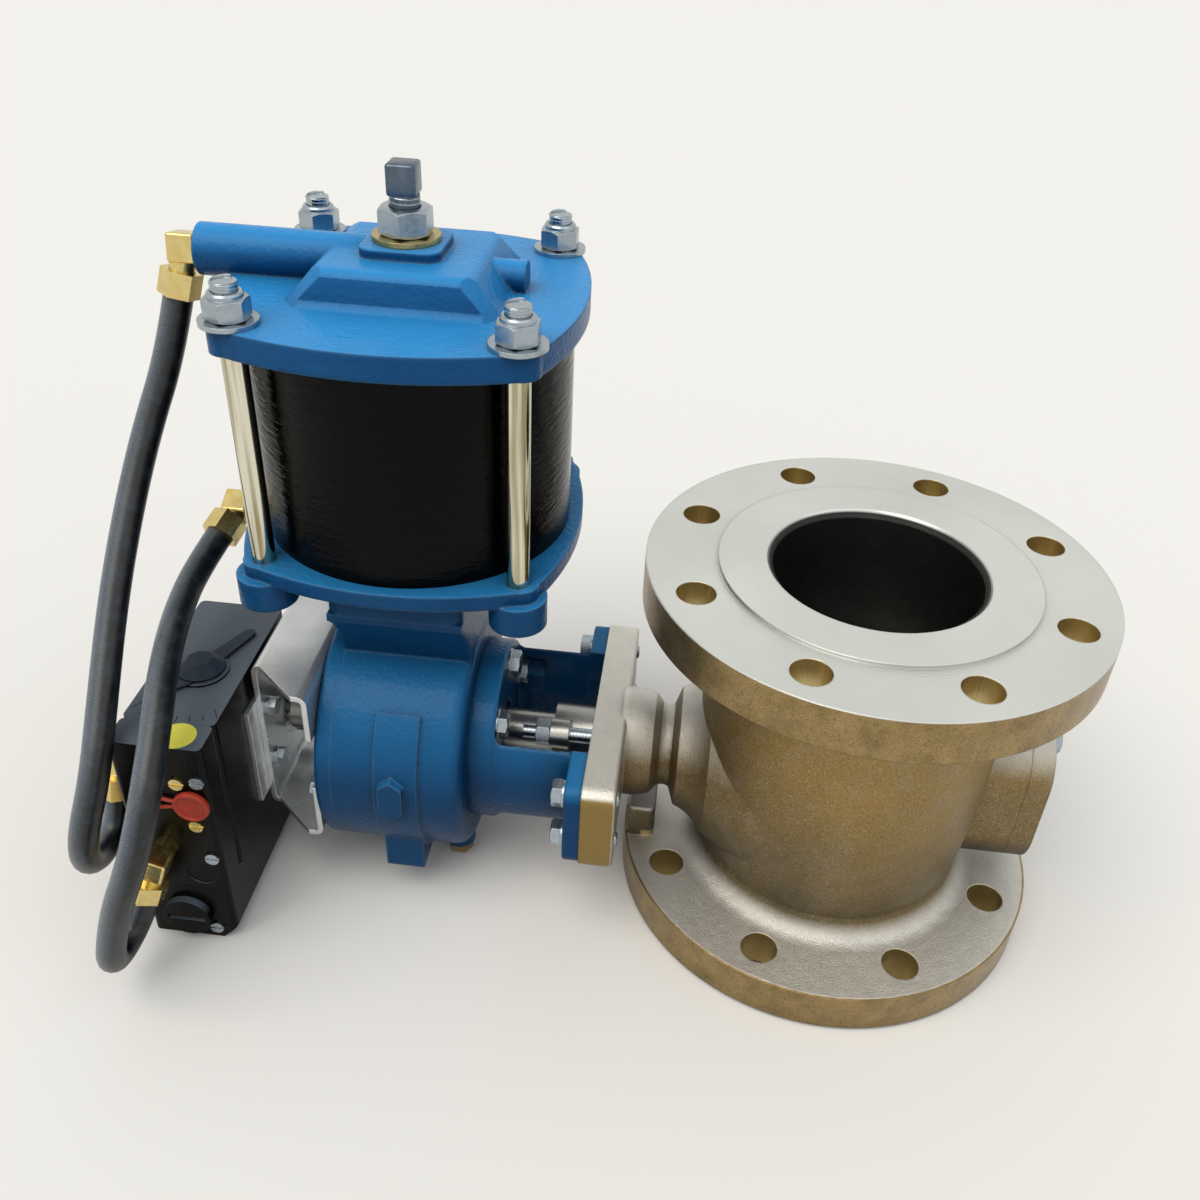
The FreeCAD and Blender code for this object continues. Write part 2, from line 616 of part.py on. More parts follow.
# End cap over the blind end of the shaft bore
cap_parts = [block("cap_middle", (S.boss_end, S.boss_end + S.cap_thick),
                   (-S.boss_half_width, S.boss_half_width),
                   (axis_z - S.boss_straight, axis_z + S.boss_straight))]
cap_tools = []
cap_bolts = []
for side, label in ((1, "high"), (-1, "low")):
    cap_parts.append(rod(f"cap_{label}", S.boss_half_width, S.cap_thick, "X", S.boss_end, 0,
                         axis_z + S.boss_straight * side))
    place = (0, axis_z + S.cap_bolt_place * side)
    cap_tools.append(rod(f"cap_hole_{label}", S.cap_bolt_diameter / 2 + S.seat_gap,
                         S.cap_thick + 2, "X", S.boss_end - 1, *place))
    head = hexagon(f"cap_head_{label}", S.cap_bolt_flats, S.cap_head_thick, "X",
                   S.boss_end + S.cap_thick, *place)
    shank = rod(f"cap_shank_{label}", S.cap_bolt_diameter / 2,
                S.cap_bolt_depth + S.cap_thick + 1, "X", S.boss_end - S.cap_bolt_depth,
                *place)
    cap_bolts.append(join(f"cap_bolt_{label}", head, shank))
nodes["end_cap"] = cut("end_cap", join("cap_solid", *cap_parts), *cap_tools)
nodes["end_cap_bolts"] = group("end_cap_bolts", cap_bolts)

# Yoke: a windowed tube with a round flange at the actuator and lugs at the valve
ring_right = S.yoke_left + S.yoke_ring_thick
plate_left = S.neck_flange_left - S.yoke_right_thick
yoke_tube = turned("yoke_tube", "X", [
    (S.yoke_left, S.yoke_ring_hole), (ring_right, S.yoke_ring_hole),
    (ring_right, S.yoke_tube_inner), (plate_left + 1, S.yoke_tube_inner),
    (plate_left + 1, S.yoke_tube_radius), (ring_right + 1, S.yoke_tube_radius),
    (ring_right - 1, S.yoke_radius),
    (S.yoke_left, S.yoke_radius)], z=axis_z)
yoke_plate = eased(raised("yoke_plate", "X",
                          round_box(S.yoke_right_half_width, S.yoke_right_half_tall,
                                    S.yoke_corner),
                          S.yoke_right_thick, x=plate_left, z=axis_z),
                   S.yoke_ease, 0)
window_half_length = (S.neck_flange_left - S.window_left) / 2 + S.window_corner
yoke_tools = [raised("yoke_window", "Z",
                     round_box(window_half_length, S.window_half_width, S.window_corner),
                     4 * S.yoke_radius, x=S.window_left + window_half_length,
                     z=axis_z - 2 * S.yoke_radius)]
yoke_bolts = []
for index, (y, z) in enumerate(around(6, S.yoke_bolt_turn, S.yoke_bolt_circle)):
    place = (y, axis_z + z)
    yoke_tools.append(rod(f"head_pocket_{index}", S.head_pocket, 16, "X", ring_right, *place))
    yoke_tools.append(rod(f"yoke_hole_{index}", S.yoke_bolt_diameter / 2 + S.seat_gap, 40,
                          "X", S.yoke_left - 10, *place))
    head = hexagon(f"yoke_head_{index}", S.yoke_bolt_flats, S.yoke_head_thick, "X",
                   ring_right, *place)
    shank = rod(f"yoke_shank_{index}", S.yoke_bolt_diameter / 2,
                S.yoke_ring_thick + S.yoke_bolt_depth + 1, "X",
                S.yoke_left - S.yoke_bolt_depth, *place)
    yoke_bolts.append(join(f"yoke_bolt_{index}", head, shank))
nodes["yoke_actuator_bolts"] = group("yoke_actuator_bolts", yoke_bolts)

joint_bolts = []
neck_flange_right = S.neck_flange_left + S.neck_flange_thick
for y_side in (-1, 1):
    for z_side in (-1, 1):
        index = len(joint_bolts)
        place = (S.joint_bolt_y * y_side, axis_z + S.joint_bolt_z * z_side)
        yoke_tools.append(rod(f"lug_hole_{index}", S.joint_bolt_diameter / 2 + S.seat_gap,
                              S.yoke_right_thick + 2, "X", plate_left - 1, *place))
        washer_left = plate_left - S.joint_washer_thick
        head = hexagon(f"joint_head_{index}", S.joint_bolt_flats, S.joint_head_thick, "X",
                       washer_left - S.joint_head_thick, *place)
        washer = rod(f"joint_washer_{index}", S.joint_washer_diameter / 2,
                     S.joint_washer_thick, "X", washer_left, *place)
        shank = rod(f"joint_shank_{index}", S.joint_bolt_diameter / 2,
                    neck_flange_right + S.joint_bolt_tail - plate_left + 1,
                    "X", plate_left - 1, *place)
        joint_bolts.append(join(f"joint_bolt_{index}", head, washer, shank))
nodes["yoke"] = cut("yoke", join("yoke_solid", yoke_tube, yoke_plate), *yoke_tools)
nodes["yoke_valve_bolts"] = group("yoke_valve_bolts", joint_bolts)

# Actuator housing: a drum around the pinion with a neck up to the cylinder
mid_x = S.cylinder_x
mid_y = S.cylinder_y
seam_back = 2 * mid_y - S.seam_front
neck_back = 2 * mid_y - S.neck_front
drum = turned("drum", "X", [
    (S.drum_left, 0), (S.yoke_left, 0),
    (S.yoke_left, S.drum_radius - S.drum_round, -S.drum_round),
    (S.yoke_left - S.drum_round, S.drum_radius), (S.drum_left, S.drum_radius)], z=axis_z)
housing_neck = raised("housing_neck", "X", [
    (S.neck_front, 100), (neck_back, 100), (neck_back, S.neck_knee, S.neck_flare),
    (seam_back, S.seam_height - 4), (seam_back, S.seam_height),
    (S.seam_front, S.seam_height), (S.seam_front, S.seam_height - 4, S.neck_flare),
    (S.neck_front, S.neck_knee)], S.yoke_left - 1 - S.drum_left, x=S.drum_left)
pad_sector = raised("pad_sector", "X", [
    (0, 0), (-74, 67), (-120, 67), (-120, -90), (-70, -90)], S.pad_right - S.pad_left,
    x=S.pad_left, z=axis_z)
front_pad = shared("front_pad", pad_sector,
                   rod("pad_round", S.drum_radius + S.pad_rise, S.pad_right - S.pad_left, "X",
                       x=S.pad_left, z=axis_z))
hex_middle = (S.hex_boss_left + S.hex_boss_right) / 2
hex_boss = raised("hex_boss", "Y", [
    (S.hex_boss_left, S.hex_boss_bottom + 5), (hex_middle, S.hex_boss_bottom),
    (S.hex_boss_right, S.hex_boss_bottom + 5), (S.hex_boss_right, S.hex_boss_top - 5),
    (hex_middle, S.hex_boss_top), (S.hex_boss_left, S.hex_boss_top - 5)],
    -S.hex_boss_front - 50, y=-50)
low_boss = block("low_boss", (S.pad_left + 1, S.pad_right - 1), (S.low_boss_front, -20),
                 (S.low_boss_bottom, 60))
drain_x = S.yoke_left - 10
drain_y = -24
drain_boss = rod("drain_boss", 8.5, 20, "Z", drain_x, drain_y, S.drain_face)
housing_tools = [
    rod("shaft_passage", shaft_radius + 0.5, 80, "X", x=S.drum_left - 5, z=axis_z),
    rod("yoke_side_pocket", S.gear_bushing_outer / 2 + S.press_fit,
        S.gear_bushing_length, "X", x=S.yoke_left - S.gear_bushing_length, z=axis_z),
    rod("pinion_chamber", S.chamber_radius, S.chamber_right - S.drum_left + 1, "X",
        x=S.drum_left - 1, z=axis_z),
    rod("rack_bore", S.rack_radius + S.running_fit, 160, "Z", mid_x, mid_y,
        S.rack_bottom - 2),
    rod("drain_thread", 5 + S.press_fit, 40, "Z", drain_x, drain_y, 0)]
for index, (y, z) in enumerate(around(6, S.yoke_bolt_turn, S.yoke_bolt_circle)):
    housing_tools.append(rod(f"housing_bolt_hole_{index}",
                             S.yoke_bolt_diameter / 2 + S.press_fit, S.yoke_bolt_depth + 2,
                             "X", S.yoke_left - S.yoke_bolt_depth - 1, y, axis_z + z))
for x_side in (-1, 1):
    for y_side in (-1, 1):
        housing_tools.append(rod(f"head_screw_hole_{len(housing_tools)}",
                                 S.head_screw_diameter / 2 + S.press_fit,
                                 S.head_screw_deep + 2, "Z",
                                 mid_x + S.head_screw_x * x_side,
                                 mid_y + S.head_screw_y * y_side,
                                 S.seam_height - S.head_screw_deep - 1))

# Housing cover with its screws, the lower shaft bushings and the bracket screws
cover_blank = turned("cover_blank", "X", [
    (S.cover_left, 0), (S.drum_left + S.cover_spigot_depth, 0),
    (S.drum_left + S.cover_spigot_depth, S.cover_spigot), (S.drum_left, S.cover_spigot),
    (S.drum_left, S.drum_radius), (S.cover_left + 3, S.drum_radius, -3),
    (S.cover_left, S.drum_radius - 3)], z=axis_z)
cover_pocket_left = S.drum_left + S.cover_spigot_depth - S.gear_bushing_length
cover_tools = [
    rod("cover_shaft_hole", shaft_radius + 0.5, 40, "X", x=S.cover_left - 5, z=axis_z),
    rod("cover_pocket", S.gear_bushing_outer / 2 + S.press_fit, 40, "X",
        x=cover_pocket_left, z=axis_z)]
cover_screws = []
for index, (y, z) in enumerate(around(6, S.cover_screw_turn, S.cover_screw_circle)):
    place = (y, axis_z + z)
    cover_tools.append(rod(f"cover_hole_{index}", S.cover_screw_diameter / 2 + S.seat_gap,
                           20, "X", S.cover_left - 1, *place))
    cover_tools.append(rod(f"cover_sink_{index}", S.cover_screw_head / 2 + S.seat_gap, 11,
                           "X", S.cover_left - 5, *place))
    housing_tools.append(rod(f"cover_thread_{index}", S.cover_screw_diameter / 2 + S.press_fit,
                             14, "X", S.drum_left - 1, *place))
    head = rod(f"cover_head_{index}", S.cover_screw_head / 2, 5.5, "X", S.cover_left + 0.5,
               *place)
    shank = rod(f"cover_shank_{index}", S.cover_screw_diameter / 2, 18, "X",
                S.cover_left + 2, *place)
    socket = hexagon(f"cover_socket_{index}", 5, 3.5, "X", S.cover_left - 0.5, *place)
    cover_screws.append(cut(f"cover_screw_{index}", join(f"cover_screw_blank_{index}", head,
                                                         shank), socket))
bracket_screws = []
lip_left = S.bracket_right - S.bracket_gauge
bracket_tools = []
for y_side in (-1, 1):
    for y, z in ((S.lip_bolt_low_y, S.lip_bolt_low_z), (S.lip_bolt_high_y, S.lip_bolt_high_z)):
        index = len(bracket_screws)
        place = (y * y_side, z)
        bracket_tools.append(rod(f"lip_hole_{index}", S.bracket_bolt_diameter / 2 + S.seat_gap,
                                 S.bracket_gauge + 2, "X", lip_left - 1, *place))
        cover_tools.append(rod(f"cover_lip_hole_{index}",
                               S.bracket_bolt_diameter / 2 + S.press_fit, 20, "X",
                               S.cover_left - 1, *place))
        housing_tools.append(rod(f"housing_lip_hole_{index}",
                                 S.bracket_bolt_diameter / 2 + S.press_fit, 10, "X",
                                 S.drum_left - 1, *place))
        head = hexagon(f"lip_head_{index}", S.bracket_bolt_flats, S.bracket_head_thick, "X",
                       lip_left - S.bracket_head_thick, *place)
        shank = rod(f"lip_shank_{index}", S.bracket_bolt_diameter / 2, 20, "X",
                    lip_left - 1, *place)
        bracket_screws.append(join(f"bracket_screw_{index}", head, shank))
nodes["actuator_housing"] = cut(
    "actuator_housing",
    join("housing_solid", drum, housing_neck, front_pad, hex_boss, low_boss, drain_boss),
    *housing_tools)
nodes["housing_cover"] = cut("housing_cover", cover_blank, *cover_tools)
nodes["cover_screws"] = group("cover_screws", cover_screws)
nodes["bracket_screws"] = group("bracket_screws", bracket_screws)
nodes["pinion_bushings"] = group("pinion_bushings", [
    ring("yoke_side_bushing", S.gear_bushing_outer / 2, shaft_radius + S.running_fit,
         S.gear_bushing_length, "X", x=S.yoke_left - S.gear_bushing_length, z=axis_z),
    ring("cover_side_bushing", S.gear_bushing_outer / 2, shaft_radius + S.running_fit,
         S.gear_bushing_length, "X", x=cover_pocket_left, z=axis_z)])
nodes["drain_plug"] = join(
    "drain_plug",
    hexagon("drain_head", 13, S.drain_head_tall, "Z", drain_x, drain_y,
            S.drain_face - S.drain_head_tall),
    rod("drain_stem", 5, 15, "Z", drain_x, drain_y, S.drain_face - 1))

# Rack and pinion: real tooth gaps, patterned round the wheel and along the rod
pitch_radius = S.gear_module * S.gear_teeth / 2
tip_radius = pitch_radius + S.gear_module
root_radius = pitch_radius - S.tooth_gap_depth


def pocket(body, name, role, points, length, both=False):
    sketch = sketch_on(body, name + "_outline", role)
    outline(sketch, points)
    feature = body.newObject("PartDesign::Pocket", name)
    feature.Profile = sketch
    bind(feature, "Length", length)
    feature.Midplane = both
    sketch.Visibility = False
    doc.recompute()
    return sketch, feature


pinion = turned("pinion", "X", [
    (-S.pinion_length - S.pinion_hub_length, shaft_radius + S.press_fit),
    (0, shaft_radius + S.press_fit), (0, tip_radius), (-S.pinion_length, tip_radius),
    (-S.pinion_length, S.pinion_hub_radius),
    (-S.pinion_length - S.pinion_hub_length, S.pinion_hub_radius)])
gap_root_y = root_radius * cosine(S.gap_root_angle)
gap_root_z = root_radius * sine(S.gap_root_angle)
gap_tip_y = (tip_radius + 0.1) * cosine(S.gap_tip_angle)
gap_tip_z = (tip_radius + 0.1) * sine(S.gap_tip_angle)
gap_sketch, gap = pocket(pinion, "tooth_gap", "YZ_Plane", [
    (gap_root_y, -gap_root_z, S.flank_arc), (gap_tip_y, -gap_tip_z),
    (tip_radius + 3, -gap_tip_z - 0.5), (tip_radius + 3, gap_tip_z + 0.5),
    (gap_tip_y, gap_tip_z, S.flank_arc), (gap_root_y, gap_root_z)], S.pinion_length)
teeth = pinion.newObject("PartDesign::PolarPattern", "tooth_gaps")
teeth.Originals = [gap]
teeth.Axis = (gap_sketch, ["N_Axis"])
teeth.Angle = 360
bind(teeth, "Occurrences", S.gear_teeth)
pinion.Tip = teeth
move_to(pinion, S.pinion_right, 0, axis_z, (1, 0, 0), S.gear_turn)
doc.recompute()
nodes["pinion"] = cut("pinion_wheel", pinion,
                      rod("wheel_pin_hole", S.taper_pin_radius + S.press_fit, 60, "Y",
                          pinion_pin_x, -30, axis_z))
nodes["pinion_pin"] = rod("pinion_pin", S.taper_pin_radius, 2 * S.pinion_hub_radius - 2, "Y",
                          pinion_pin_x, 1 - S.pinion_hub_radius, axis_z)

rack_tip = pitch_radius - S.rack_addendum - mid_y
rack_root = pitch_radius + S.gear_module * 1.25 - mid_y
circular_pitch = S.gear_module * math.pi
tangent = math.tan(math.radians(20))
half_gap_tip = circular_pitch / 4 + (S.rack_addendum + 0.5) * tangent + S.gear_backlash / 4
half_gap_root = circular_pitch / 4 - S.gear_module * 1.25 * tangent + S.gear_backlash / 4
rack = turned("rack_rod", "Z", [
    (0, S.rack_bottom), (S.rack_radius, S.rack_bottom), (S.rack_radius, S.piston_rest),
    (S.piston_stud, S.piston_rest), (S.piston_stud, S.piston_rest + S.piston_tall - 4),
    (0, S.piston_rest + S.piston_tall - 4)])
flat_sketch, flat = pocket(rack, "rack_flat", "YZ_Plane", [
    (-S.rack_radius - 1, S.rack_bottom - 1), (rack_tip, S.rack_bottom - 1),
    (rack_tip, S.rack_flat_top), (-S.rack_radius - 1, S.rack_flat_top + 8)], 60, both=True)
low_gap = axis_z - 5 * circular_pitch
rack_gap_sketch, rack_gap = pocket(rack, "rack_gap", "YZ_Plane", [
    (rack_tip - 0.5, low_gap - half_gap_tip), (rack_root, low_gap - half_gap_root),
    (rack_root, low_gap + half_gap_root), (rack_tip - 0.5, low_gap + half_gap_tip)], 60,
    both=True)
rack_teeth = rack.newObject("PartDesign::LinearPattern", "rack_gaps")
rack_teeth.Originals = [rack_gap]
rack_teeth.Direction = (rack_gap_sketch, ["V_Axis"])
bind(rack_teeth, "Length", 7 * circular_pitch)
rack_teeth.Occurrences = 8
rack.Tip = rack_teeth
move_to(rack, mid_x, mid_y, 0)
doc.recompute()
nodes["rack_rod"] = rack

# Cylinder: two plates clamped on a tube by four tie rods
inner_radius = S.tube_inner / 2


def bulged_square(corner, bulge, rounding):
    """A square plate whose sides bow outward."""
    d = corner - rounding
    side = (d * d + bulge * bulge) / (2 * bulge)
    return [(corner, -d, -side), (corner, d, -rounding), (d, corner, -side),
            (-d, corner, -rounding), (-corner, d, -side), (-corner, -d, -rounding),
            (-d, -corner, -side), (d, -corner, -rounding)]


def corners():
    for x_side in (-1, 1):
        for y_side in (-1, 1):
            yield mid_x + S.tie_x * x_side, mid_y + S.tie_y * y_side


plate_points = bulged_square(S.head_corner, S.head_bulge, S.head_corner_round)
low_parts = [
    raised("low_plate", "Z", plate_points, S.tube_bottom - S.lower_plate, mid_x, mid_y,
           S.lower_plate),
    raised("low_body", "Z",
           round_box(S.yoke_left - 1 - mid_x, mid_y - S.seam_front, 6),
           S.lower_plate + 1 - S.seam_height, mid_x, mid_y, S.seam_height),
    rod("low_spigot", inner_radius - S.running_fit, S.spigot_tall + 1, "Z", mid_x, mid_y,
        S.tube_bottom - 1),
    rod("low_port_boss", S.low_port_radius, mid_x - S.low_port_end, "X", S.low_port_end,
        S.low_port_y, S.low_port_z)]
low_top = S.tube_bottom + S.spigot_tall
low_tools = [
    rod("rod_bore", S.rack_radius + S.running_fit, 60, "Z", mid_x, mid_y,
        S.seam_height - 5),
    rod("rod_seal_seat", S.rod_seal_outer / 2 + S.press_fit, 30, "Z", mid_x, mid_y,
        low_top - S.rod_seal_tall),
    rod("low_air_port", S.air_hole / 2, 40, "X", S.low_port_end - 1, S.low_port_y,
        S.low_port_z),
    rod("low_air_riser", S.air_hole / 2 - 0.5, 40, "Z", S.low_port_end + 34, S.low_port_y,
        S.low_port_z)]
high_bottom = S.tube_top - S.spigot_tall
dome_bottom = S.upper_plate_top - 1


def dome_view(foot_half, top_half):
    """A side view of the dome: a hollow foot, a sloping side and a rounded shoulder."""
    foot = S.dome_foot
    ease = S.dome_ease
    high = S.dome_top
    right_side = [(foot_half + foot, dome_bottom), (foot_half - foot / 2, dome_bottom + foot * 0.8),
                  (top_half + ease / 2, high - ease * 0.75), (top_half - ease, high)]
    left_side = [(-x, z) for x, z in reversed(right_side)]
    points = right_side + left_side
    for index, radius in ((0, foot * 1.8), (2, ease * -1.8), (4, ease * -1.8), (6, foot * 1.8)):
        points[index] += (radius,)
    return points


dome_x = mid_x + S.dome_shift
dome_y = mid_y + S.dome_shift
dome = shared(
    "dome",
    raised("dome_front_view", "Y", dome_view(S.dome_half_x, S.dome_top_half),
           4 * S.dome_half_x, dome_x, dome_y, both=True),
    raised("dome_side_view", "X", dome_view(S.dome_half_y, S.dome_top_half),
           4 * S.dome_half_x, dome_x, dome_y, both=True),
    cone("dome_corners", S.dome_low_corner, S.dome_high_corner, S.dome_top - dome_bottom, "Z",
         dome_x, dome_y, dome_bottom))
high_parts = [
    raised("high_plate", "Z", plate_points, S.upper_plate_top - S.tube_top, mid_x, mid_y,
           S.tube_top),
    rod("high_spigot", inner_radius - S.running_fit, S.spigot_tall + 1, "Z", mid_x, mid_y,
        high_bottom),
    dome,
    eased(raised("dome_pad", "Z",
                 round_box(S.dome_pad_half, S.dome_pad_half, S.dome_pad_corner),
                 S.dome_pad_top - S.dome_top + 1, mid_x, mid_y, S.dome_top - 1),
          S.pad_ease, 1),
    rod("high_port_boss", S.port_radius, mid_x - S.port_end, "X", S.port_end, S.port_y,
        S.port_z),
    rod("dome_nub", S.nub_radius + 2, 54, "X", mid_x, S.port_y, S.port_z - 2)]
high_tools = [
    rod("stop_thread", S.stop_diameter / 2 + S.press_fit, 60, "Z", mid_x, mid_y,
        high_bottom - 1),
    rod("high_air_port", S.air_hole / 2, 50, "X", S.port_end - 1, S.port_y, S.port_z),
    rod("high_air_riser", S.air_hole / 2 - 0.5, S.port_z - high_bottom + 1, "Z",
        S.port_end + 45, S.port_y, high_bottom - 1)]
head_screws = []
for x_side in (-1, 1):
    for y_side in (-1, 1):
        index = len(head_screws)
        place = (mid_x + S.head_screw_x * x_side, mid_y + S.head_screw_y * y_side)
        low_tools.append(rod(f"head_screw_way_{index}",
                             S.head_screw_diameter / 2 + S.seat_gap, 50, "Z", *place,
                             S.seam_height - 1))
        low_tools.append(rod(f"head_screw_sink_{index}", S.head_screw_head / 2 + S.seat_gap,
                             12, "Z", *place, low_top - 11))
        head = rod(f"head_screw_head_{index}", S.head_screw_head / 2, 10, "Z", *place,
                   low_top - 11)
        shank = rod(f"head_screw_shank_{index}", S.head_screw_diameter / 2,
                    low_top - 10 - S.seam_height + S.head_screw_deep, "Z", *place,
                    S.seam_height - S.head_screw_deep)
        socket = hexagon(f"head_screw_socket_{index}", 8, 6, "Z", *place, low_top - 6)
        head_screws.append(cut(f"head_screw_{index}",
                               join(f"head_screw_blank_{index}", head, shank), socket))
tie_rods = []
tie_nuts = []
tie_washers = []
for index, (x, y) in enumerate(corners()):
    low_parts.append(rod(f"corner_boss_{index}", S.corner_boss,
                         S.lower_plate + 1 - S.corner_boss_bottom, "Z", x, y,
                         S.corner_boss_bottom))
    low_tools.append(rod(f"tie_thread_{index}", S.tie_rod_diameter / 2 + S.press_fit, 40,
                         "Z", x, y, S.tie_rod_bottom - 1))
    high_tools.append(rod(f"tie_hole_{index}", S.tie_rod_diameter / 2 + S.seat_gap, 40,
                          "Z", x, y, S.tube_top - 5))
    tie_rods.append(rod(f"tie_rod_{index}", S.tie_rod_diameter / 2,
                        S.tie_rod_top - S.tie_rod_bottom, "Z", x, y, S.tie_rod_bottom))
    tie_washers.append(ring(f"tie_washer_{index}", S.tie_washer_diameter / 2,
                            S.tie_rod_diameter / 2 + S.seat_gap, S.tie_washer_thick, "Z",
                            x, y, S.upper_plate_top))
    nut_low = S.upper_plate_top + S.tie_washer_thick
    nut = join(f"tie_nut_blank_{index}",
               hexagon(f"tie_nut_hex_{index}", S.tie_nut_flats, S.tie_nut_tall - 3, "Z", x,
                       y, nut_low),
               rod(f"tie_nut_collar_{index}", S.tie_nut_flats / 2 - 0.8, S.tie_nut_tall, "Z",
                   x, y, nut_low))
    tie_nuts.append(cut(f"tie_nut_{index}", nut,
                        rod(f"tie_nut_hole_{index}",
                            S.tie_rod_diameter / 2 + S.thread_gap, 30, "Z", x, y,
                            S.upper_plate_top - 5)))
groove_depth = 2.8
tube_seals = []
for label, low in (("low", S.tube_bottom + 2), ("high", high_bottom + 1.5)):
    tools = low_tools if label == "low" else high_tools
    tools.append(ring(f"{label}_groove", inner_radius + 1, inner_radius - groove_depth, 2.5,
                      "Z", mid_x, mid_y, low))
    tube_seals.append(ring(f"tube_seal_{label}", inner_radius - S.press_fit,
                           inner_radius - groove_depth + S.press_fit, 2.5 - S.press_fit,
                           "Z", mid_x, mid_y, low + S.press_fit / 2))
nodes["lower_head"] = cut("lower_head", join("lower_head_solid", *low_parts), *low_tools)
nodes["upper_head"] = cut("upper_head", join("upper_head_solid", *high_parts), *high_tools)
nodes["head_screws"] = group("head_screws", head_screws)
nodes["cylinder_tube"] = ring("cylinder_tube", S.tube_outer / 2, inner_radius,
                              S.tube_top - S.tube_bottom, "Z", mid_x, mid_y, S.tube_bottom)
nodes["tube_seals"] = group("tube_seals", tube_seals)
nodes["tie_rods"] = group("tie_rods", tie_rods)
nodes["tie_rod_nuts"] = group("tie_rod_nuts", tie_nuts)
nodes["tie_rod_washers"] = group("tie_rod_washers", tie_washers)
nodes["rod_seal"] = ring("rod_seal", S.rod_seal_outer / 2, S.rack_radius + S.running_fit,
                         S.rod_seal_tall, "Z", mid_x, mid_y, low_top - S.rod_seal_tall)

# Piston and its two seals
piston_blank = ring("piston_blank", inner_radius - S.running_fit,
                    S.piston_stud + S.press_fit, S.piston_tall - 3, "Z", mid_x, mid_y,
                    S.piston_rest)
piston_crown = rod("piston_crown", inner_radius - 2, 4, "Z", mid_x, mid_y,
                   S.piston_rest + S.piston_tall - 4)
piston_tools = []
piston_seals = []
for label, offset in (("low", 6), ("high", S.piston_tall - 13)):
    low = S.piston_rest + offset
    piston_tools.append(ring(f"{label}_seal_groove", inner_radius + 1,
                             inner_radius - S.seal_depth, S.seal_width, "Z", mid_x, mid_y,
                             low))
    piston_seals.append(ring(f"piston_seal_{label}", inner_radius - S.press_fit,
                             inner_radius - S.seal_depth + S.press_fit,
                             S.seal_width - S.press_fit, "Z", mid_x, mid_y,
                             low + S.press_fit / 2))
nodes["piston"] = cut("piston", join("piston_solid", piston_blank, piston_crown),
                      *piston_tools)
nodes["piston_seals"] = group("piston_seals", piston_seals)

# Travel stop on the crown of the upper head
nut_bottom = S.dome_pad_top + S.stop_washer_thick
nodes["stop_screw_washer"] = ring("stop_screw_washer", S.stop_washer_diameter / 2,
                                  S.stop_diameter / 2 + S.seat_gap, S.stop_washer_thick,
                                  "Z", mid_x, mid_y, S.dome_pad_top)
nodes["stop_screw_nut"] = cut(
    "stop_screw_nut",
    hexagon("stop_nut_hex", S.stop_nut_flats, S.stop_nut_tall, "Z", mid_x, mid_y,
            nut_bottom),
    rod("stop_nut_hole", S.stop_diameter / 2 + S.thread_gap, 40, "Z", mid_x, mid_y,
        nut_bottom - 5))
half_square = S.stop_square / 2
nodes["stop_screw"] = join(
    "stop_screw",
    rod("stop_thread_bar", S.stop_diameter / 2, S.stop_thread_top - S.stop_bottom, "Z",
        mid_x, mid_y, S.stop_bottom),
    block("stop_square_head", (mid_x - half_square, mid_x + half_square),
          (mid_y - half_square, mid_y + half_square), (S.stop_thread_top, S.stop_top)))

# Positioner bracket, folded from one strip of sheet
bend = S.bracket_bend
gauge = S.bracket_gauge
bend_inner = bend - gauge
left = S.bracket_left
right = S.bracket_right
top = S.bracket_top
bottom = S.bracket_bottom
bracket_strip = raised("bracket_strip", "Y", [
    (right, S.lower_lip), (right, bottom + bend, bend), (right - bend, bottom),
    (left + bend, bottom, bend), (left, bottom + bend), (left, top - bend, bend),
    (left + bend, top), (right - bend, top, bend), (right, top - bend),
    (right, S.upper_lip), (right - gauge, S.upper_lip), (right - gauge, top - bend,
                                                         -bend_inner),
    (right - bend, top - gauge), (left + bend, top - gauge, -bend_inner),
    (left + gauge, top - bend), (left + gauge, bottom + bend, -bend_inner),
    (left + bend, bottom + gauge), (right - bend, bottom + gauge, -bend_inner),
    (right - gauge, bottom + bend), (right - gauge, S.lower_lip)],
    3 * S.bracket_wide, both=True)
bracket_plan = raised("bracket_plan", "Z", [
    (left - 1, -S.bracket_narrow), (left + 5, -S.bracket_narrow),
    (right - 8, -S.bracket_wide), (right + 1, -S.bracket_wide),
    (right + 1, S.bracket_wide), (right - 8, S.bracket_wide),
    (left + 5, S.bracket_narrow), (left - 1, S.bracket_narrow)], 200)
bracket_tools.append(rod("leg_opening", S.leg_hole, 20, "X", x=left - 5, z=axis_z))
bracket_tools.append(rod("lip_notch", S.lip_notch, 20, "X", x=right - 10, z=axis_z))
leg_bolts = []
block_tools = [rod("block_opening", S.spindle_diameter / 2 + 1, 20, "X",
                   x=S.positioner_right - 5, z=axis_z)]
body_screw_tools = []
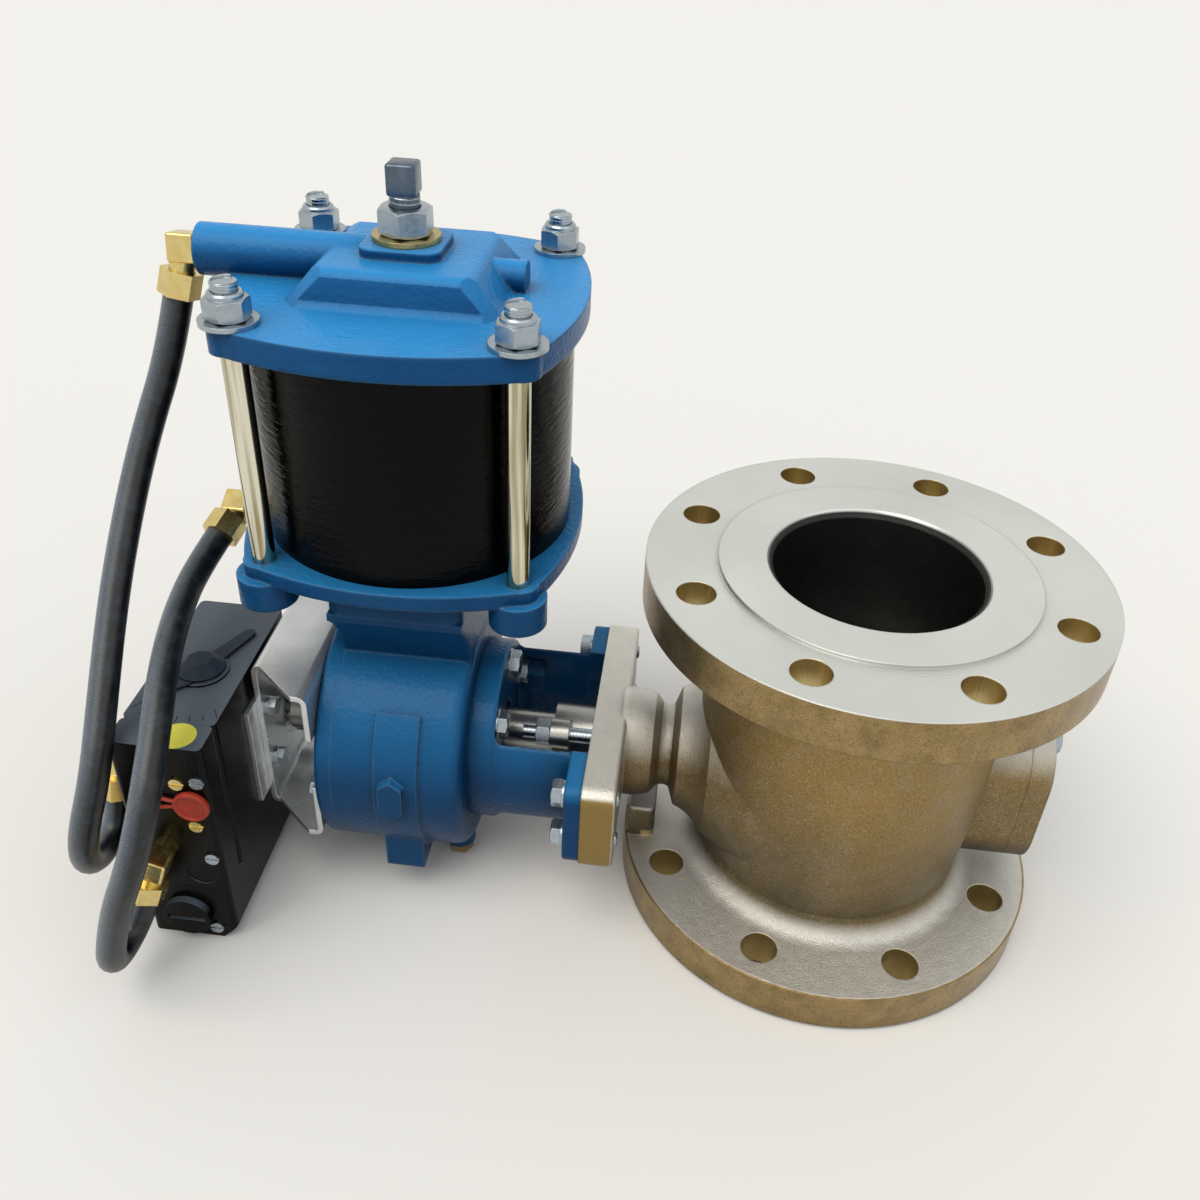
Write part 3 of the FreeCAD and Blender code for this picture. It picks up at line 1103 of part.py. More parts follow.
for index, (y, z) in enumerate(((S.leg_bolt_front, S.leg_bolt_low),
                                (S.leg_bolt_front, S.leg_bolt_high),
                                (S.leg_bolt_back, S.leg_bolt_lowest),
                                (S.leg_bolt_back, S.leg_bolt_high))):
    head_right = left + gauge + 1.6
    bracket_tools.append(rod(f"leg_hole_{index}", 2.5 + S.seat_gap, 20, "X", left - 5, y, z))
    block_tools.append(rod(f"block_hole_{index}", 2.5 + S.seat_gap, 20, "X",
                           S.positioner_right - 5, y, z))
    body_screw_tools.append(rod(f"body_hole_{index}", 2.5 + S.press_fit, 20, "X",
                                S.positioner_right - 12, y, z))
    leg_bolts.append(join(
        f"leg_bolt_{index}", hexagon(f"leg_head_{index}", 9, 4, "X", head_right, y, z),
        rod(f"leg_washer_{index}", 5, 1.6, "X", left + gauge, y, z),
        rod(f"leg_shank_{index}", 2.5, 16, "X", left + gauge - 15, y, z)))
nodes["positioner_bracket"] = cut("positioner_bracket",
                                  shared("bracket_folded", bracket_strip, bracket_plan),
                                  *bracket_tools)
nodes["positioner_bolts"] = group("positioner_bolts", leg_bolts)
nodes["mounting_block"] = cut(
    "mounting_block",
    block("mounting_block_blank", (S.positioner_right, left),
          (S.block_front, S.block_back), (S.block_bottom, S.block_top)), *block_tools)
nodes["shaft_coupling"] = cut(
    "shaft_coupling",
    rod("coupling_bar", S.coupling_diameter / 2, S.coupling_right - S.coupling_left, "X",
        x=S.coupling_left, z=axis_z),
    rod("coupling_shaft_bore", shaft_radius + S.press_fit, 60, "X",
        x=S.drive_shaft_outer - 0.5, z=axis_z),
    rod("coupling_spindle_bore", S.spindle_diameter / 2 + S.press_fit, 60, "X",
        x=S.coupling_left - 5, z=axis_z))
nodes["feedback_spindle"] = rod("feedback_spindle", S.spindle_diameter / 2,
                                S.drive_shaft_outer - 1 - S.spindle_left, "X",
                                x=S.spindle_left, z=axis_z)

# Positioner: base, body and front module, closed inside
middle_x = (S.positioner_left + S.positioner_right) / 2
half_x = (S.positioner_right - S.positioner_left) / 2


def case(name, front, back, low, high, rounding):
    half_y = (back - front) / 2
    return raised(name, "Z", round_box(half_x, half_y, rounding), high - low, middle_x,
                  front + half_y, low)


face = S.positioner_front
base_blank = case("base_blank", face, S.positioner_back, 0, S.positioner_seam,
                  S.positioner_round)
base_bevel = raised("base_bevel", "Y", [
    (S.positioner_right - S.front_bevel, -1), (S.positioner_right + 1, -1),
    (S.positioner_right + 1, S.front_bevel)], 400, both=True)
body_blank = case("body_blank", S.front_seam, S.positioner_back, S.positioner_seam,
                  S.positioner_top, S.positioner_round)
front_blank = case("front_blank", face, S.front_seam, S.positioner_seam,
                   S.positioner_top, S.positioner_round)
pointer_top = S.positioner_top + S.dial_disc_tall
case_tools = body_screw_tools + [
    rod("side_port", S.air_hole / 2, 14, "X", S.positioner_left - 1, -75, 97),
    rod("spindle_hole", S.spindle_diameter / 2 + S.running_fit, 30, "X",
        x=S.spindle_left - 2, z=axis_z),
    rod("pointer_hole", 4 + S.running_fit, 12, "Z", S.dial_x, S.dial_y,
        S.positioner_top - 10)]
body_raise = rod("dial_disc", S.dial_disc_radius, S.dial_disc_tall + 1, "Z", S.dial_x,
                 S.dial_y, S.positioner_top - 1)
nodes["positioner_body"] = cut("positioner_body",
                               join("positioner_body_solid", body_blank, body_raise),
                               *case_tools)


def slotted(name, x, z, radius, tall, deep):
    """A slotted round head on the front face, with its shank in the case."""
    head = rod(name + "_head", radius, tall, "Y", x, face - tall, z)
    shank = rod(name + "_shank", radius / 2, deep + 1, "Y", x, face - 1, z)
    slot = block(name + "_slot", (x - radius - 1, x + radius + 1),
                 (face - tall - 1, face - tall / 2), (z - radius * 0.16, z + radius * 0.16))
    return cut(name, join(name + "_blank", head, shank), slot)


front_places = {"screw_a": (-318, 115), "screw_b": (-318.5, 62)}
base_places = {"screw_c": (-353, 29), "screw_d": (-324, 8)}
plug_places = {"vent_a": (-328.5, 113), "vent_b": (-323, 85)}
front_tools = []
base_tools = [base_bevel]
positioner_screws = []
vent_plugs = []
for places, target, shelf in ((front_places, front_tools, positioner_screws),
                              (base_places, base_tools, positioner_screws),
                              (plug_places, front_tools, vent_plugs)):
    for label, (x, z) in places.items():
        shelf.append(slotted(label, x, z, S.case_screw_radius, S.case_screw_tall,
                             S.case_screw_deep))
        target.append(rod(label + "_hole", S.case_screw_radius / 2 + S.press_fit,
                          S.case_screw_deep + 3, "Y", x, face - 1, z))
nodes["positioner_screws"] = group("positioner_screws", positioner_screws)
nodes["vent_plugs"] = group("vent_plugs", vent_plugs)
front_tools.append(rod("front_round_recess", 8, 1.2, "Y", -326, face - 0.6, 49.5))
base_tools.append(rod("plug_hole", 9 + S.press_fit, 14, "Y", -338, face - 1, 17))
nodes["conduit_plug"] = cut(
    "conduit_plug",
    join("plug_blank", rod("plug_head", 12.5, 4, "Y", -338, face - 4, 17),
         rod("plug_stem", 9, 12, "Y", -338, face - 1, 17)),
    block("plug_slot", (-348, -328), (face - 5, face - 2), (15.4, 18.6)))
front_tools.append(rod("cap_hole", 5 + S.press_fit, 12, "Y", -322.5, face - 1, 100))
front_tools.append(rod("front_port", S.air_hole / 2, 12, "Y", -342, face - 1, 68))
nodes["positioner_front"] = cut("positioner_front", front_blank, *front_tools)
nodes["rubber_cap"] = join(
    "rubber_cap", cone("cap_dome", 7, 9, 5, "Y", -322.5, face - 5, 100),
    rod("cap_stem", 5, 10, "Y", -322.5, face - 1, 100),
    block("cap_tail_high", (-346, -325), (face - 2.4, face - 0.2), (101.5, 103.7)),
    block("cap_tail_low", (-346, -325), (face - 2.4, face - 0.2), (96.5, 98.7)))
nodes["positioner_base"] = cut("positioner_base", base_blank, *base_tools)

# Pointer: an arrow plate and knob that turn on the top face
pointer_plate = raised("pointer_plate", "Z", [
    (S.pointer_length, 0), (10, 6), (-8, 6), (-13, 5), (-S.pointer_tail, 0), (-13, -5),
    (-8, -6), (10, -6)], S.pointer_thick, S.dial_x, S.dial_y, pointer_top,
    turn=((0, 0, 1), S.pointer_heading))
knob_low = pointer_top + S.pointer_thick - 0.5
nodes["pointer"] = join(
    "pointer", pointer_plate,
    cone("knob", S.knob_radius, S.knob_radius * 0.55, S.knob_tall, "Z", S.dial_x, S.dial_y,
         knob_low),
    rod("pointer_stem", 4, 10, "Z", S.dial_x, S.dial_y, pointer_top - 9))

# Hoses: tubes along hand chosen points. Each end lies in line with the leg of its elbow.
upper_elbow_centre = Vector(-339, 24, 333)
side_elbow_centre = Vector(-374, -75, 97)
lower_elbow_centre = Vector(-331, 19, 197.5)
front_elbow_centre = Vector(-342, -115, 68)
upper_route = [
    (-351, 14, 283), (-361, -4, 250), (-365, -30, 218), (-365, -60, 186), (-361, -92, 156),
    (-357, -120, 130), (-363, -133, 102), (-371, -125, 75), (-377, -104, 57),
    (-376, -84, 61)]
lower_route = [
    (-342, -18, 180), (-340, -48, 175), (-334, -80, 169), (-327, -112, 155),
    (-324, -138, 136), (-329, -152, 109), (-342, -155, 78), (-358, -148, 30),
    (-356, -118, 28)]


def leg_end(centre, toward, reach):
    """Where the leg of an elbow ends when it points at the next point of its hose."""
    return centre + (Vector(*toward) - centre).normalize() * reach


def routed(places):
    """Straight runs joined by tangent arcs, and the radii of the arcs."""
    edges = []
    radii = []
    start = places[0]
    last = len(places) - 2
    for index in range(1, last + 1):
        before = places[index - 1] - places[index]
        after = places[index + 1] - places[index]
        half_turn = (math.pi - before.getAngle(after)) / 2
        reach = min(before.Length * (0.9 if index == 1 else 0.45),
                    after.Length * (0.9 if index == last else 0.45))
        radius = reach / math.tan(half_turn)
        one = places[index] + before.normalize() * reach
        two = places[index] + after.normalize() * reach
        inward = ((one + two) * 0.5 - places[index]).normalize()
        crown = places[index] + inward * (radius / math.cos(half_turn) - radius)
        edges.append(Part.LineSegment(start, one).toShape())
        edges.append(Part.Arc(one, crown, two).toShape())
        radii.append(radius)
        start = two
    edges.append(Part.LineSegment(start, places[-1]).toShape())
    return Part.Wire(edges), radii


def hose(name, first, route, last):
    """A tube swept along its route, which no primitive or sketched feature here can do."""
    places = [first] + [Vector(*point) for point in route] + [last]
    wire, radii = routed(places)
    heading = (places[1] - places[0]).normalize()
    tubes = []
    for alias in ("hose_diameter", "hose_bore"):
        circle = Part.Circle(first, heading, sheet.get(alias) / 2)
        tubes.append(wire.makePipeShell([Part.Wire([circle.toShape()])], True, False))
    item = doc.addObject("Part::Feature", name)
    item.Shape = tubes[0].cut(tubes[1])
    item.Placement = Placement(Vector(0, 0, 0), Rotation())
    area = math.pi * (number(S.hose_diameter) ** 2 - number(S.hose_bore) ** 2) / 4
    print(f"{name}: length {wire.Length:.1f}, bend radii",
          " ".join(f"{radius:.0f}" for radius in radii),
          f"volume ratio {item.Shape.Volume / (area * wire.Length):.3f}",
          f"ends {first} {last}")
    return item


doc.recompute()
upper_start = leg_end(upper_elbow_centre, upper_route[0], 23)
upper_end = leg_end(side_elbow_centre, upper_route[-1], 20)
lower_start = leg_end(lower_elbow_centre, lower_route[0], 20)
lower_end = leg_end(front_elbow_centre, lower_route[-1], 22)
nodes["hose_upper"] = hose("hose_upper", upper_start, upper_route, upper_end)
nodes["hose_lower"] = hose("hose_lower", lower_start, lower_route, lower_end)


def along(name, kind, radius, length, start, heading):
    """A cylinder or hexagonal prism from a point along any direction."""
    item = doc.addObject(kind, name)
    if kind == "Part::Prism":
        item.Polygon = 6
        bind(item, "Circumradius", radius / math.sqrt(3))
    else:
        bind(item, "Radius", radius)
    bind(item, "Height", length)
    item.Placement = Placement(start, Rotation(Vector(0, 0, 1), heading))
    return item


hose_elbows = []
hose_nuts = []


def elbow(name, centre, into_port, port_gap, hose_end):
    """A brass elbow with one leg in a port, and a hexagon nut at the hose."""
    toward = hose_end - centre
    reach = toward.Length
    toward.normalize()
    half = S.elbow_knee / 2
    knee = eased(raised(name + "_knee", "Z", round_box(half, half, S.elbow_knee_ease),
                        S.elbow_knee), S.elbow_knee_ease, 0, 1)
    across = into_port.cross(toward).normalize()
    turn = Rotation(into_port, across, Vector(0, 0, 1), "XYZ")
    knee.Placement = Placement(Vector(0, 0, 0), turn)
    move_to(knee, *(centre - turn.multVec(Vector(0, 0, number(half)))))
    hose_elbows.append(join(
        name,
        along(name + "_port_leg", "Part::Cylinder", S.elbow_radius, port_gap, centre,
              into_port),
        along(name + "_stub", "Part::Cylinder", S.air_hole / 2 - S.press_fit,
              port_gap + S.elbow_stub, centre, into_port),
        along(name + "_hose_leg", "Part::Cylinder", S.elbow_radius, reach, centre, toward),
        knee))
    low = centre + toward * (reach - number(S.hose_nut_length))
    hose_nuts.append(cut(
        name + "_nut",
        along(name + "_nut_hex", "Part::Prism", S.hose_nut_flats, S.hose_nut_length, low,
              toward),
        along(name + "_nut_hole", "Part::Cylinder", S.elbow_radius + S.press_fit, 60,
              low - toward * 10, toward)))


elbow("upper_elbow", upper_elbow_centre, Vector(1, 0, 0), 8, upper_start)
elbow("side_elbow", side_elbow_centre, Vector(1, 0, 0), 14, upper_end)
elbow("lower_elbow", lower_elbow_centre, Vector(1, 0, 0), 9, lower_start)
elbow("front_elbow", front_elbow_centre, Vector(0, 1, 0), 13, lower_end)
nodes["hose_elbows"] = group("hose_elbows", hose_elbows)
nodes["hose_nuts"] = group("hose_nuts", hose_nuts)

# Every node is checked and written as one file
doc.recompute()
for item in doc.Objects:
    if "Invalid" in item.State or "Error" in item.State:
        raise RuntimeError(f"{item.Name} did not build: {item.State}")
for label, item in nodes.items():
    shape = item.Shape
    if shape.isNull() or not shape.isValid() or not shape.Solids:
        raise RuntimeError(f"{label} has no valid solid")
    item.Label = label
    shape.exportStep(f"parts/{label}.step")
    box = shape.BoundBox
    print(f"{label}: {len(shape.Solids)} solids, {shape.Volume / 1000:.2f} cm3,",
          f"x {box.XMin:.1f} {box.XMax:.1f} y {box.YMin:.1f} {box.YMax:.1f}",
          f"z {box.ZMin:.1f} {box.ZMax:.1f}")
print(len(nodes), "nodes")
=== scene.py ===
"""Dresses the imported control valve: finishes for every solid, hoses, fasteners, thread ends and
the small parts of the positioner. Metres, in the frame of the solids: the origin is the centre of
the lower flange face, +Z runs up the pipe bore, X runs along the valve shaft."""
import json
import math

import bmesh
import bpy
from mathutils import Matrix, Vector


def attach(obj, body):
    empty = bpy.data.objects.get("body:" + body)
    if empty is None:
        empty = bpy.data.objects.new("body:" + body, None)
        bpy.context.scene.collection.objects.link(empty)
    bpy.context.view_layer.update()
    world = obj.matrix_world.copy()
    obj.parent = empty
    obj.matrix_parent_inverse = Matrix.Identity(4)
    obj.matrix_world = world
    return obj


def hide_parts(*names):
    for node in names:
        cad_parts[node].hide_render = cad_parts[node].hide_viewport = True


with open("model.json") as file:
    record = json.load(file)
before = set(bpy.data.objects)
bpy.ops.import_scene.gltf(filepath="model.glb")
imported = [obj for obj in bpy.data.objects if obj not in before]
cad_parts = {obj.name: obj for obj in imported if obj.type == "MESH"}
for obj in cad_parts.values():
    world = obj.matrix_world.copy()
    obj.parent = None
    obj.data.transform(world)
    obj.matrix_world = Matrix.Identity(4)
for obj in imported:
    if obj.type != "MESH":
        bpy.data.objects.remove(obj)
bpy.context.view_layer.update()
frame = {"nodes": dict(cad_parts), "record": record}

bl_info = {
    "name": "Control valve dresser",
    "version": (1, 0, 0),
    "blender": (4, 5, 0),
    "location": "3D View > Sidebar > Control valve",
    "description": "Finishes, hoses and fasteners for the packed control valve",
    "category": "Object",
}

MM = 0.001
ROOT = "valve_frame"

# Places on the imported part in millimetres: x and y for upright pieces, y and z for the others
SHAFT_HEIGHT = 80
STOP_SCREW = (-232.5, 19)
TIE_RODS = [(STOP_SCREW[0] + 61 * a, STOP_SCREW[1] + 62 * b) for a in (-1, 1) for b in (-1, 1)]
NECK_BOLTS = [(62 * a, SHAFT_HEIGHT + 14.5 * b) for a in (-1, 1) for b in (-1, 1)]
GLAND_STUDS = [(-19.95, 96.98), (19.95, 63.02)]
RING_RADIUS = 40
RING_BOLTS = [(RING_RADIUS * math.cos(math.radians(76 + 60 * i)),
               SHAFT_HEIGHT + RING_RADIUS * math.sin(math.radians(76 + 60 * i)))
              for i in range(6)]

# The middle of the positioner's dial and the level of its face, in metres
DIAL = (-0.336, -0.0437)
DIAL_TOP = 0.1355

# Where a finish or a painted shade changes: from and to, in metres. Heights:
LOWER_FLANGE_TOP = (0.0275, 0.029)
UPPER_FLANGE_FOOT = (0.181, 0.1825)
TURNED_FACE = (0.180, 0.184)
RAISED_FACE = (0.2078, 0.2083)
CAST_DARKER_BELOW = (0.04, 0.13)
PAINT_SHADED_BELOW = (0.13, 0.3)
ROD_NUTS = (0.325, 0.327)
# Radii about the pipe bore:
BORE = (0.0535, 0.0545)
BOLT_CIRCLE_INNER = (0.0845, 0.0855)
BOLT_CIRCLE_OUTER = (0.1052, 0.1062)
FLANGE_RIM = (0.1128, 0.1136)
# Along X:
NECK_PLATE = (-0.1185, -0.1155)
FLANGES_BEGIN = (-0.1165, -0.1155)
SHADE_BY_NECK = (-0.07, -0.005)


# Objects and meshes

def link(piece):
    bpy.context.scene.collection.objects.link(piece)
    return piece


def mesh_object(name, build):
    """A mesh object at the origin, filled in by build(bm)."""
    bm = bmesh.new()
    build(bm)
    mesh = bpy.data.meshes.new(name)
    bm.to_mesh(mesh)
    bm.free()
    return link(bpy.data.objects.new(name, mesh))


def evaluated_mesh(piece):
    """The shape of a piece with its modifiers, or of a curve, as a plain mesh."""
    return bpy.data.meshes.new_from_object(
        piece.evaluated_get(bpy.context.evaluated_depsgraph_get()))


def smooth(piece, angle=35):
    piece.data.shade_smooth()
    piece.data.set_sharp_from_angle(angle=math.radians(angle))


def soften(piece, width, segments=3):
    """Round the edges of a piece and keep the result as its mesh."""
    modifier = piece.modifiers.new("round edges", "BEVEL")
    modifier.width = width
    modifier.segments = segments
    modifier.limit_method = "ANGLE"
    modifier.angle_limit = math.radians(30)
    result = evaluated_mesh(piece)
    piece.modifiers.clear()
    piece.data = result


def finish(name):
    return bpy.data.materials[name]


def finish_piece(piece, material, body=ROOT, replaces=()):
    if material is not None:
        piece.data.materials.clear()
        piece.data.materials.append(material)
    if replaces:
        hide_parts(*replaces)
    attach(piece, body)


# Node trees

def linear(code):
    """An sRGB hex value as the linear colour that a shader takes."""
    parts = [int(code[i:i + 2], 16) / 255 for i in (0, 2, 4)]
    return [p / 12.92 if p <= 0.04045 else ((p + 0.055) / 1.055) ** 2.4 for p in parts] + [1.0]


def add(tree, kind, links=None, **settings):
    """Add one node with its settings, its socket values and its links."""
    node = tree.nodes.new(kind)
    for name, value in settings.items():
        setattr(node, name, value)
    for name, value in (links or {}).items():
        if isinstance(value, bpy.types.NodeSocket):
            tree.links.new(value, node.inputs[name])
        else:
            node.inputs[name].default_value = value
    return node


def set_up(tree, shader, **values):
    """Set or link the shader's own sockets, named with underscores for spaces."""
    for name, value in values.items():
        socket = shader.inputs[name.replace("_", " ")]
        if isinstance(value, bpy.types.NodeSocket):
            tree.links.new(value, socket)
        else:
            socket.default_value = value


def start_material(name, rounding=0.0):
    """A new material: its tree, its shader, object coordinates and a normal for round edges."""
    material = bpy.data.materials.new(name)
    material.use_nodes = True
    tree = material.node_tree
    tree.nodes.clear()
    shader = add(tree, "ShaderNodeBsdfPrincipled")
    add(tree, "ShaderNodeOutputMaterial", {"Surface": shader.outputs["BSDF"]})
    place = add(tree, "ShaderNodeTexCoord").outputs["Object"]
    edge = None
    if rounding:
        edge = add(tree, "ShaderNodeBevel", {"Radius": rounding}, samples=6).outputs["Normal"]
    return material, tree, shader, place, edge


def noise(tree, place, size, detail=3.0, rough=0.55):
    """Noise whose grain is about the given size in metres."""
    return add(tree, "ShaderNodeTexNoise",
               {"Vector": place, "Scale": 1 / size, "Detail": detail,
                "Roughness": rough}).outputs["Fac"]


def stretched(tree, place, scale):
    """The coordinates scaled along each axis; a small scale draws the pattern out."""
    return add(tree, "ShaderNodeMapping", {"Vector": place, "Scale": scale}).outputs["Vector"]


def axes(tree, vector):
    """The X, Y and Z of a vector."""
    outputs = add(tree, "ShaderNodeSeparateXYZ", {"Vector": vector}).outputs
    return outputs["X"], outputs["Y"], outputs["Z"]


def surface_normal(tree):
    return add(tree, "ShaderNodeNewGeometry").outputs["Normal"]


def blend(tree, factor, one, two, mode="MIX"):
    """A colour between two, each a hex value, a linear colour or a socket."""
    one, two = (linear(value) if isinstance(value, str) else value for value in (one, two))
    return add(tree, "ShaderNodeMix", {0: factor, 6: one, 7: two}, data_type="RGBA",
               blend_type=mode).outputs[2]


def mixed(tree, factor, one, two):
    """A number between two."""
    return add(tree, "ShaderNodeMix", {0: factor, 2: one, 3: two}).outputs[0]


def between(tree, factor, low, high, from_low=0.0, from_high=1.0):
    """A factor brought from one range to another, and kept in it."""
    return add(tree, "ShaderNodeMapRange",
               {"Value": factor, "From Min": from_low, "From Max": from_high, "To Min": low,
                "To Max": high}).outputs["Result"]


def times(tree, one, two):
    return add(tree, "ShaderNodeMath", {0: one, 1: two}, operation="MULTIPLY").outputs[0]


def higher(tree, one, two):
    return add(tree, "ShaderNodeMath", {0: one, 1: two}, operation="MAXIMUM").outputs[0]


def shaded(tree, colour, reach, keep):
    """The colour darkened where surfaces lie close together: painted shade in corners, creases
    and recesses.
    """
    near = add(tree, "ShaderNodeAmbientOcclusion", {"Distance": reach}, samples=3).outputs["AO"]
    dark = blend(tree, 1.0, colour, (keep, keep, keep, 1), "MULTIPLY")
    return blend(tree, near, dark, colour)


def bump(tree, height, distance, normal=None):
    links = {"Height": height, "Distance": distance, "Strength": 1.0}
    if normal is not None:
        links["Normal"] = normal
    return add(tree, "ShaderNodeBump", links).outputs["Normal"]


# Materials

def body_zones(tree, place):
    """Factors for the finishes of the body and for its painted shade, from the place and the
    heading of each spot.
    """
    x, y, z = axes(tree, place)
    flat = add(tree, "ShaderNodeCombineXYZ", {"X": x, "Y": y}).outputs["Vector"]
    radius = add(tree, "ShaderNodeVectorMath", {0: flat}, operation="LENGTH").outputs["Value"]
    _, frontward, upward = axes(tree, surface_normal(tree))
    sideways = add(tree, "ShaderNodeMath", {0: frontward}, operation="ABSOLUTE").outputs[0]
    in_flange = higher(tree, between(tree, z, 1, 0, *LOWER_FLANGE_TOP),
                       between(tree, z, 0, 1, *UPPER_FLANGE_FOOT))
    rim = times(tree, between(tree, radius, 0, 1, *FLANGE_RIM), in_flange)
    level_top = times(tree, between(tree, upward, 0, 1, 0.9, 0.98),
                      between(tree, z, 0, 1, *TURNED_FACE))
    bolt_circle = times(tree, between(tree, radius, 0, 1, *BOLT_CIRCLE_INNER),
                        between(tree, radius, 1, 0, *BOLT_CIRCLE_OUTER))
    upright = times(tree, between(tree, upward, 1, 0, 0.2, 0.4),
                    between(tree, upward, 0, 1, -0.4, -0.2))
    plate = between(tree, x, 1, 0, *NECK_PLATE)
    return {
        "height": z,
        "upward": upward,
        "rim": times(tree, rim, between(tree, x, 0, 1, *FLANGES_BEGIN)),
        "turned": higher(tree, level_top, between(tree, z, 0, 1, *RAISED_FACE)),
        "drilled": times(tree, times(tree, bolt_circle, upright), in_flange),
        "plate": plate,
        "plate_side": times(tree, plate, between(tree, sideways, 0, 1, 0.75, 0.9)),
        "shade_by_neck": between(tree, x, 0.4, 0, *SHADE_BY_NECK),
        "inside": between(tree, radius, 1, 0, *BORE),
    }


def cast_stainless():
    """Sand cast stainless, blasted and tarnished tan; turned faces are pale and drilled holes are
    bright.
    Painted light makes faces that look up pale, and painted shade darkens faces that look down,
    the barrel by the neck, the bore and the recesses."""
    material, tree, shader, place, edge = start_material("cast stainless steel", 1.2 * MM)
    zone = body_zones(tree, place)
    # The skin of the casting: darker towards the bottom, broad tarnish, patches a thumb wide and
    # single grains of sand
    tarnish = noise(tree, place, 75 * MM, 3)
    patches = noise(tree, place, 12 * MM, 4, 0.65)
    grains = noise(tree, place, 0.9 * MM, 3, 0.7)
    high = mixed(tree, 0.4, between(tree, zone["height"], 0, 1, *CAST_DARKER_BELOW),
                 between(tree, tarnish, 0, 1, 0.3, 0.7))
    cast = blend(tree, high, "6b624d", "a98a4c")
    # Painted shade: the barrel darkens towards the neck
    cast = blend(tree, zone["shade_by_neck"], cast, "40372a")
    cast = blend(tree, between(tree, patches, 0, 0.25, 0.45, 0.8), cast, "a8a294")
    cast = blend(tree, between(tree, grains, 0.5, 0, 0.3, 0.47), cast, "382c18")
    cast = blend(tree, between(tree, grains, 0, 0.5, 0.56, 0.72), cast, "d0c8ae")
    # Painted light: faces that look up turn pale
    cast = blend(tree, between(tree, zone["upward"], 0, 0.95, 0.25, 0.9), cast,
                 blend(tree, patches, "c4c3bc", "e8e6e0"))
    # Painted shade: faces that look down turn dark brown
    cast = blend(tree, between(tree, zone["upward"], 0.8, 0, -0.6, 0), cast, "2f281c")
    # The neck flange is blasted pale, and its two sides are tarnished
    cast = blend(tree, zone["plate"], cast, blend(tree, patches, "d4d2c8", "eeece4"))
    cast = blend(tree, zone["plate_side"], cast, blend(tree, grains, "7c6636", "a48a52"))
    rim_colour = blend(tree, between(tree, patches, 0, 1, 0.2, 0.8), "7c6842", "b69c6c")
    rim_colour = blend(tree, between(tree, grains, 0.7, 0, 0.3, 0.5), rim_colour, "4a3c1e")
    colour = blend(tree, zone["rim"], cast, rim_colour)
    colour = blend(tree, zone["turned"], colour, blend(tree, tarnish, "c8cbc5", "eaebe7"))
    # Painted shade: the bore is painted near black
    colour = blend(tree, zone["inside"], colour, blend(tree, patches, "1d1d1c", "3a3c3a"))
    # Painted shade in the recesses
    colour = shaded(tree, colour, 14 * MM, 0.5)
    colour = blend(tree, zone["drilled"], colour, blend(tree, patches, "a38c55", "d6c48e"))
    # Sand grains and lumps on the skin, a fine spiral cut on the turned faces
    lumps = noise(tree, place, 6 * MM, 3, 0.6)
    rings = add(tree, "ShaderNodeTexWave", {"Vector": place, "Scale": 320.0, "Distortion": 0.4,
                                            "Detail": 1.0}, wave_type="RINGS",
                rings_direction="Z").outputs["Fac"]
    skin = mixed(tree, 0.45, grains, lumps)
    fine = higher(tree, higher(tree, zone["turned"], zone["drilled"]),
                  times(tree, zone["rim"], 0.75))
    relief = mixed(tree, fine, skin, times(tree, rings, 0.1))
    set_up(tree, shader, Base_Color=colour, Metallic=0.8,
           Roughness=mixed(tree, fine, between(tree, grains, 0.5, 0.3), 0.28),
           Normal=bump(tree, relief, 0.8 * MM, edge))
    return material


def machined_steel():
    """Turned stainless: pale, with a fine grain and an uneven polish."""
    material, tree, shader, place, edge = start_material("machined stainless steel", 0.5 * MM)
    marks = noise(tree, place, 0.9 * MM, 2)
    set_up(tree, shader, Base_Color=blend(tree, marks, "b4b4b0", "8f8f8c"), Metallic=1.0,
           Roughness=between(tree, noise(tree, place, 6 * MM), 0.26, 0.38),
           Normal=bump(tree, marks, 0.05 * MM, edge))
    return material


def cast_paint():
    """Blue alkyd gloss brushed over cast iron: the sand texture shows through softly. Painted
    light makes faces that look up a lighter blue and lightens the edges as a painted highlight;
    painted shade darkens the lower castings and the recesses."""
    material, tree, shader, place, edge = start_material("blue gloss paint on cast iron",
                                                         2.6 * MM)
    height = axes(tree, place)[2]
    normal = surface_normal(tree)
    upward = axes(tree, normal)[2]
    cloud = noise(tree, place, 38 * MM, 3)
    # Painted light: faces that look up take the lit tone, the others the shaded tone, with a
    # little random cloud
    tone = mixed(tree, 0.2, between(tree, upward, 0.12, 1, 0.1, 0.95), cloud)
    dark, light = scene_colours().paint_shaded, scene_colours().paint_lit
    colour = blend(tree, tone, (*dark, 1), (*light, 1))
    # Painted shade: the lower castings are darker
    colour = blend(tree, between(tree, height, 0.36, 0, *PAINT_SHADED_BELOW), colour, "03101c")
    # Painted shade in the recesses
    colour = shaded(tree, colour, 22 * MM, 0.22)
    # Near an edge the rounded normal leaves the true one: there a painted highlight lightens the
    # paint, at convex and concave edges alike
    glint_edge = add(tree, "ShaderNodeVectorMath", {0: edge, 1: normal},
               operation="DOT_PRODUCT").outputs["Value"]
    colour = blend(tree, between(tree, glint_edge, 0.25, 0, 0.72, 0.94), colour, "8cc0e8")
    orange_peel = noise(tree, place, 2.4 * MM, 2, 0.5)
    sand = noise(tree, place, 8 * MM, 3, 0.6)
    skin = add(tree, "ShaderNodeMath", {0: orange_peel, 1: sand}, operation="ADD").outputs[0]
    set_up(tree, shader, Base_Color=colour, Roughness=0.3, IOR=1.5,
           Specular_IOR_Level=0.1, Coat_Weight=0.07, Coat_Roughness=0.06,
           Normal=bump(tree, skin, 0.5 * MM, edge))
    return material


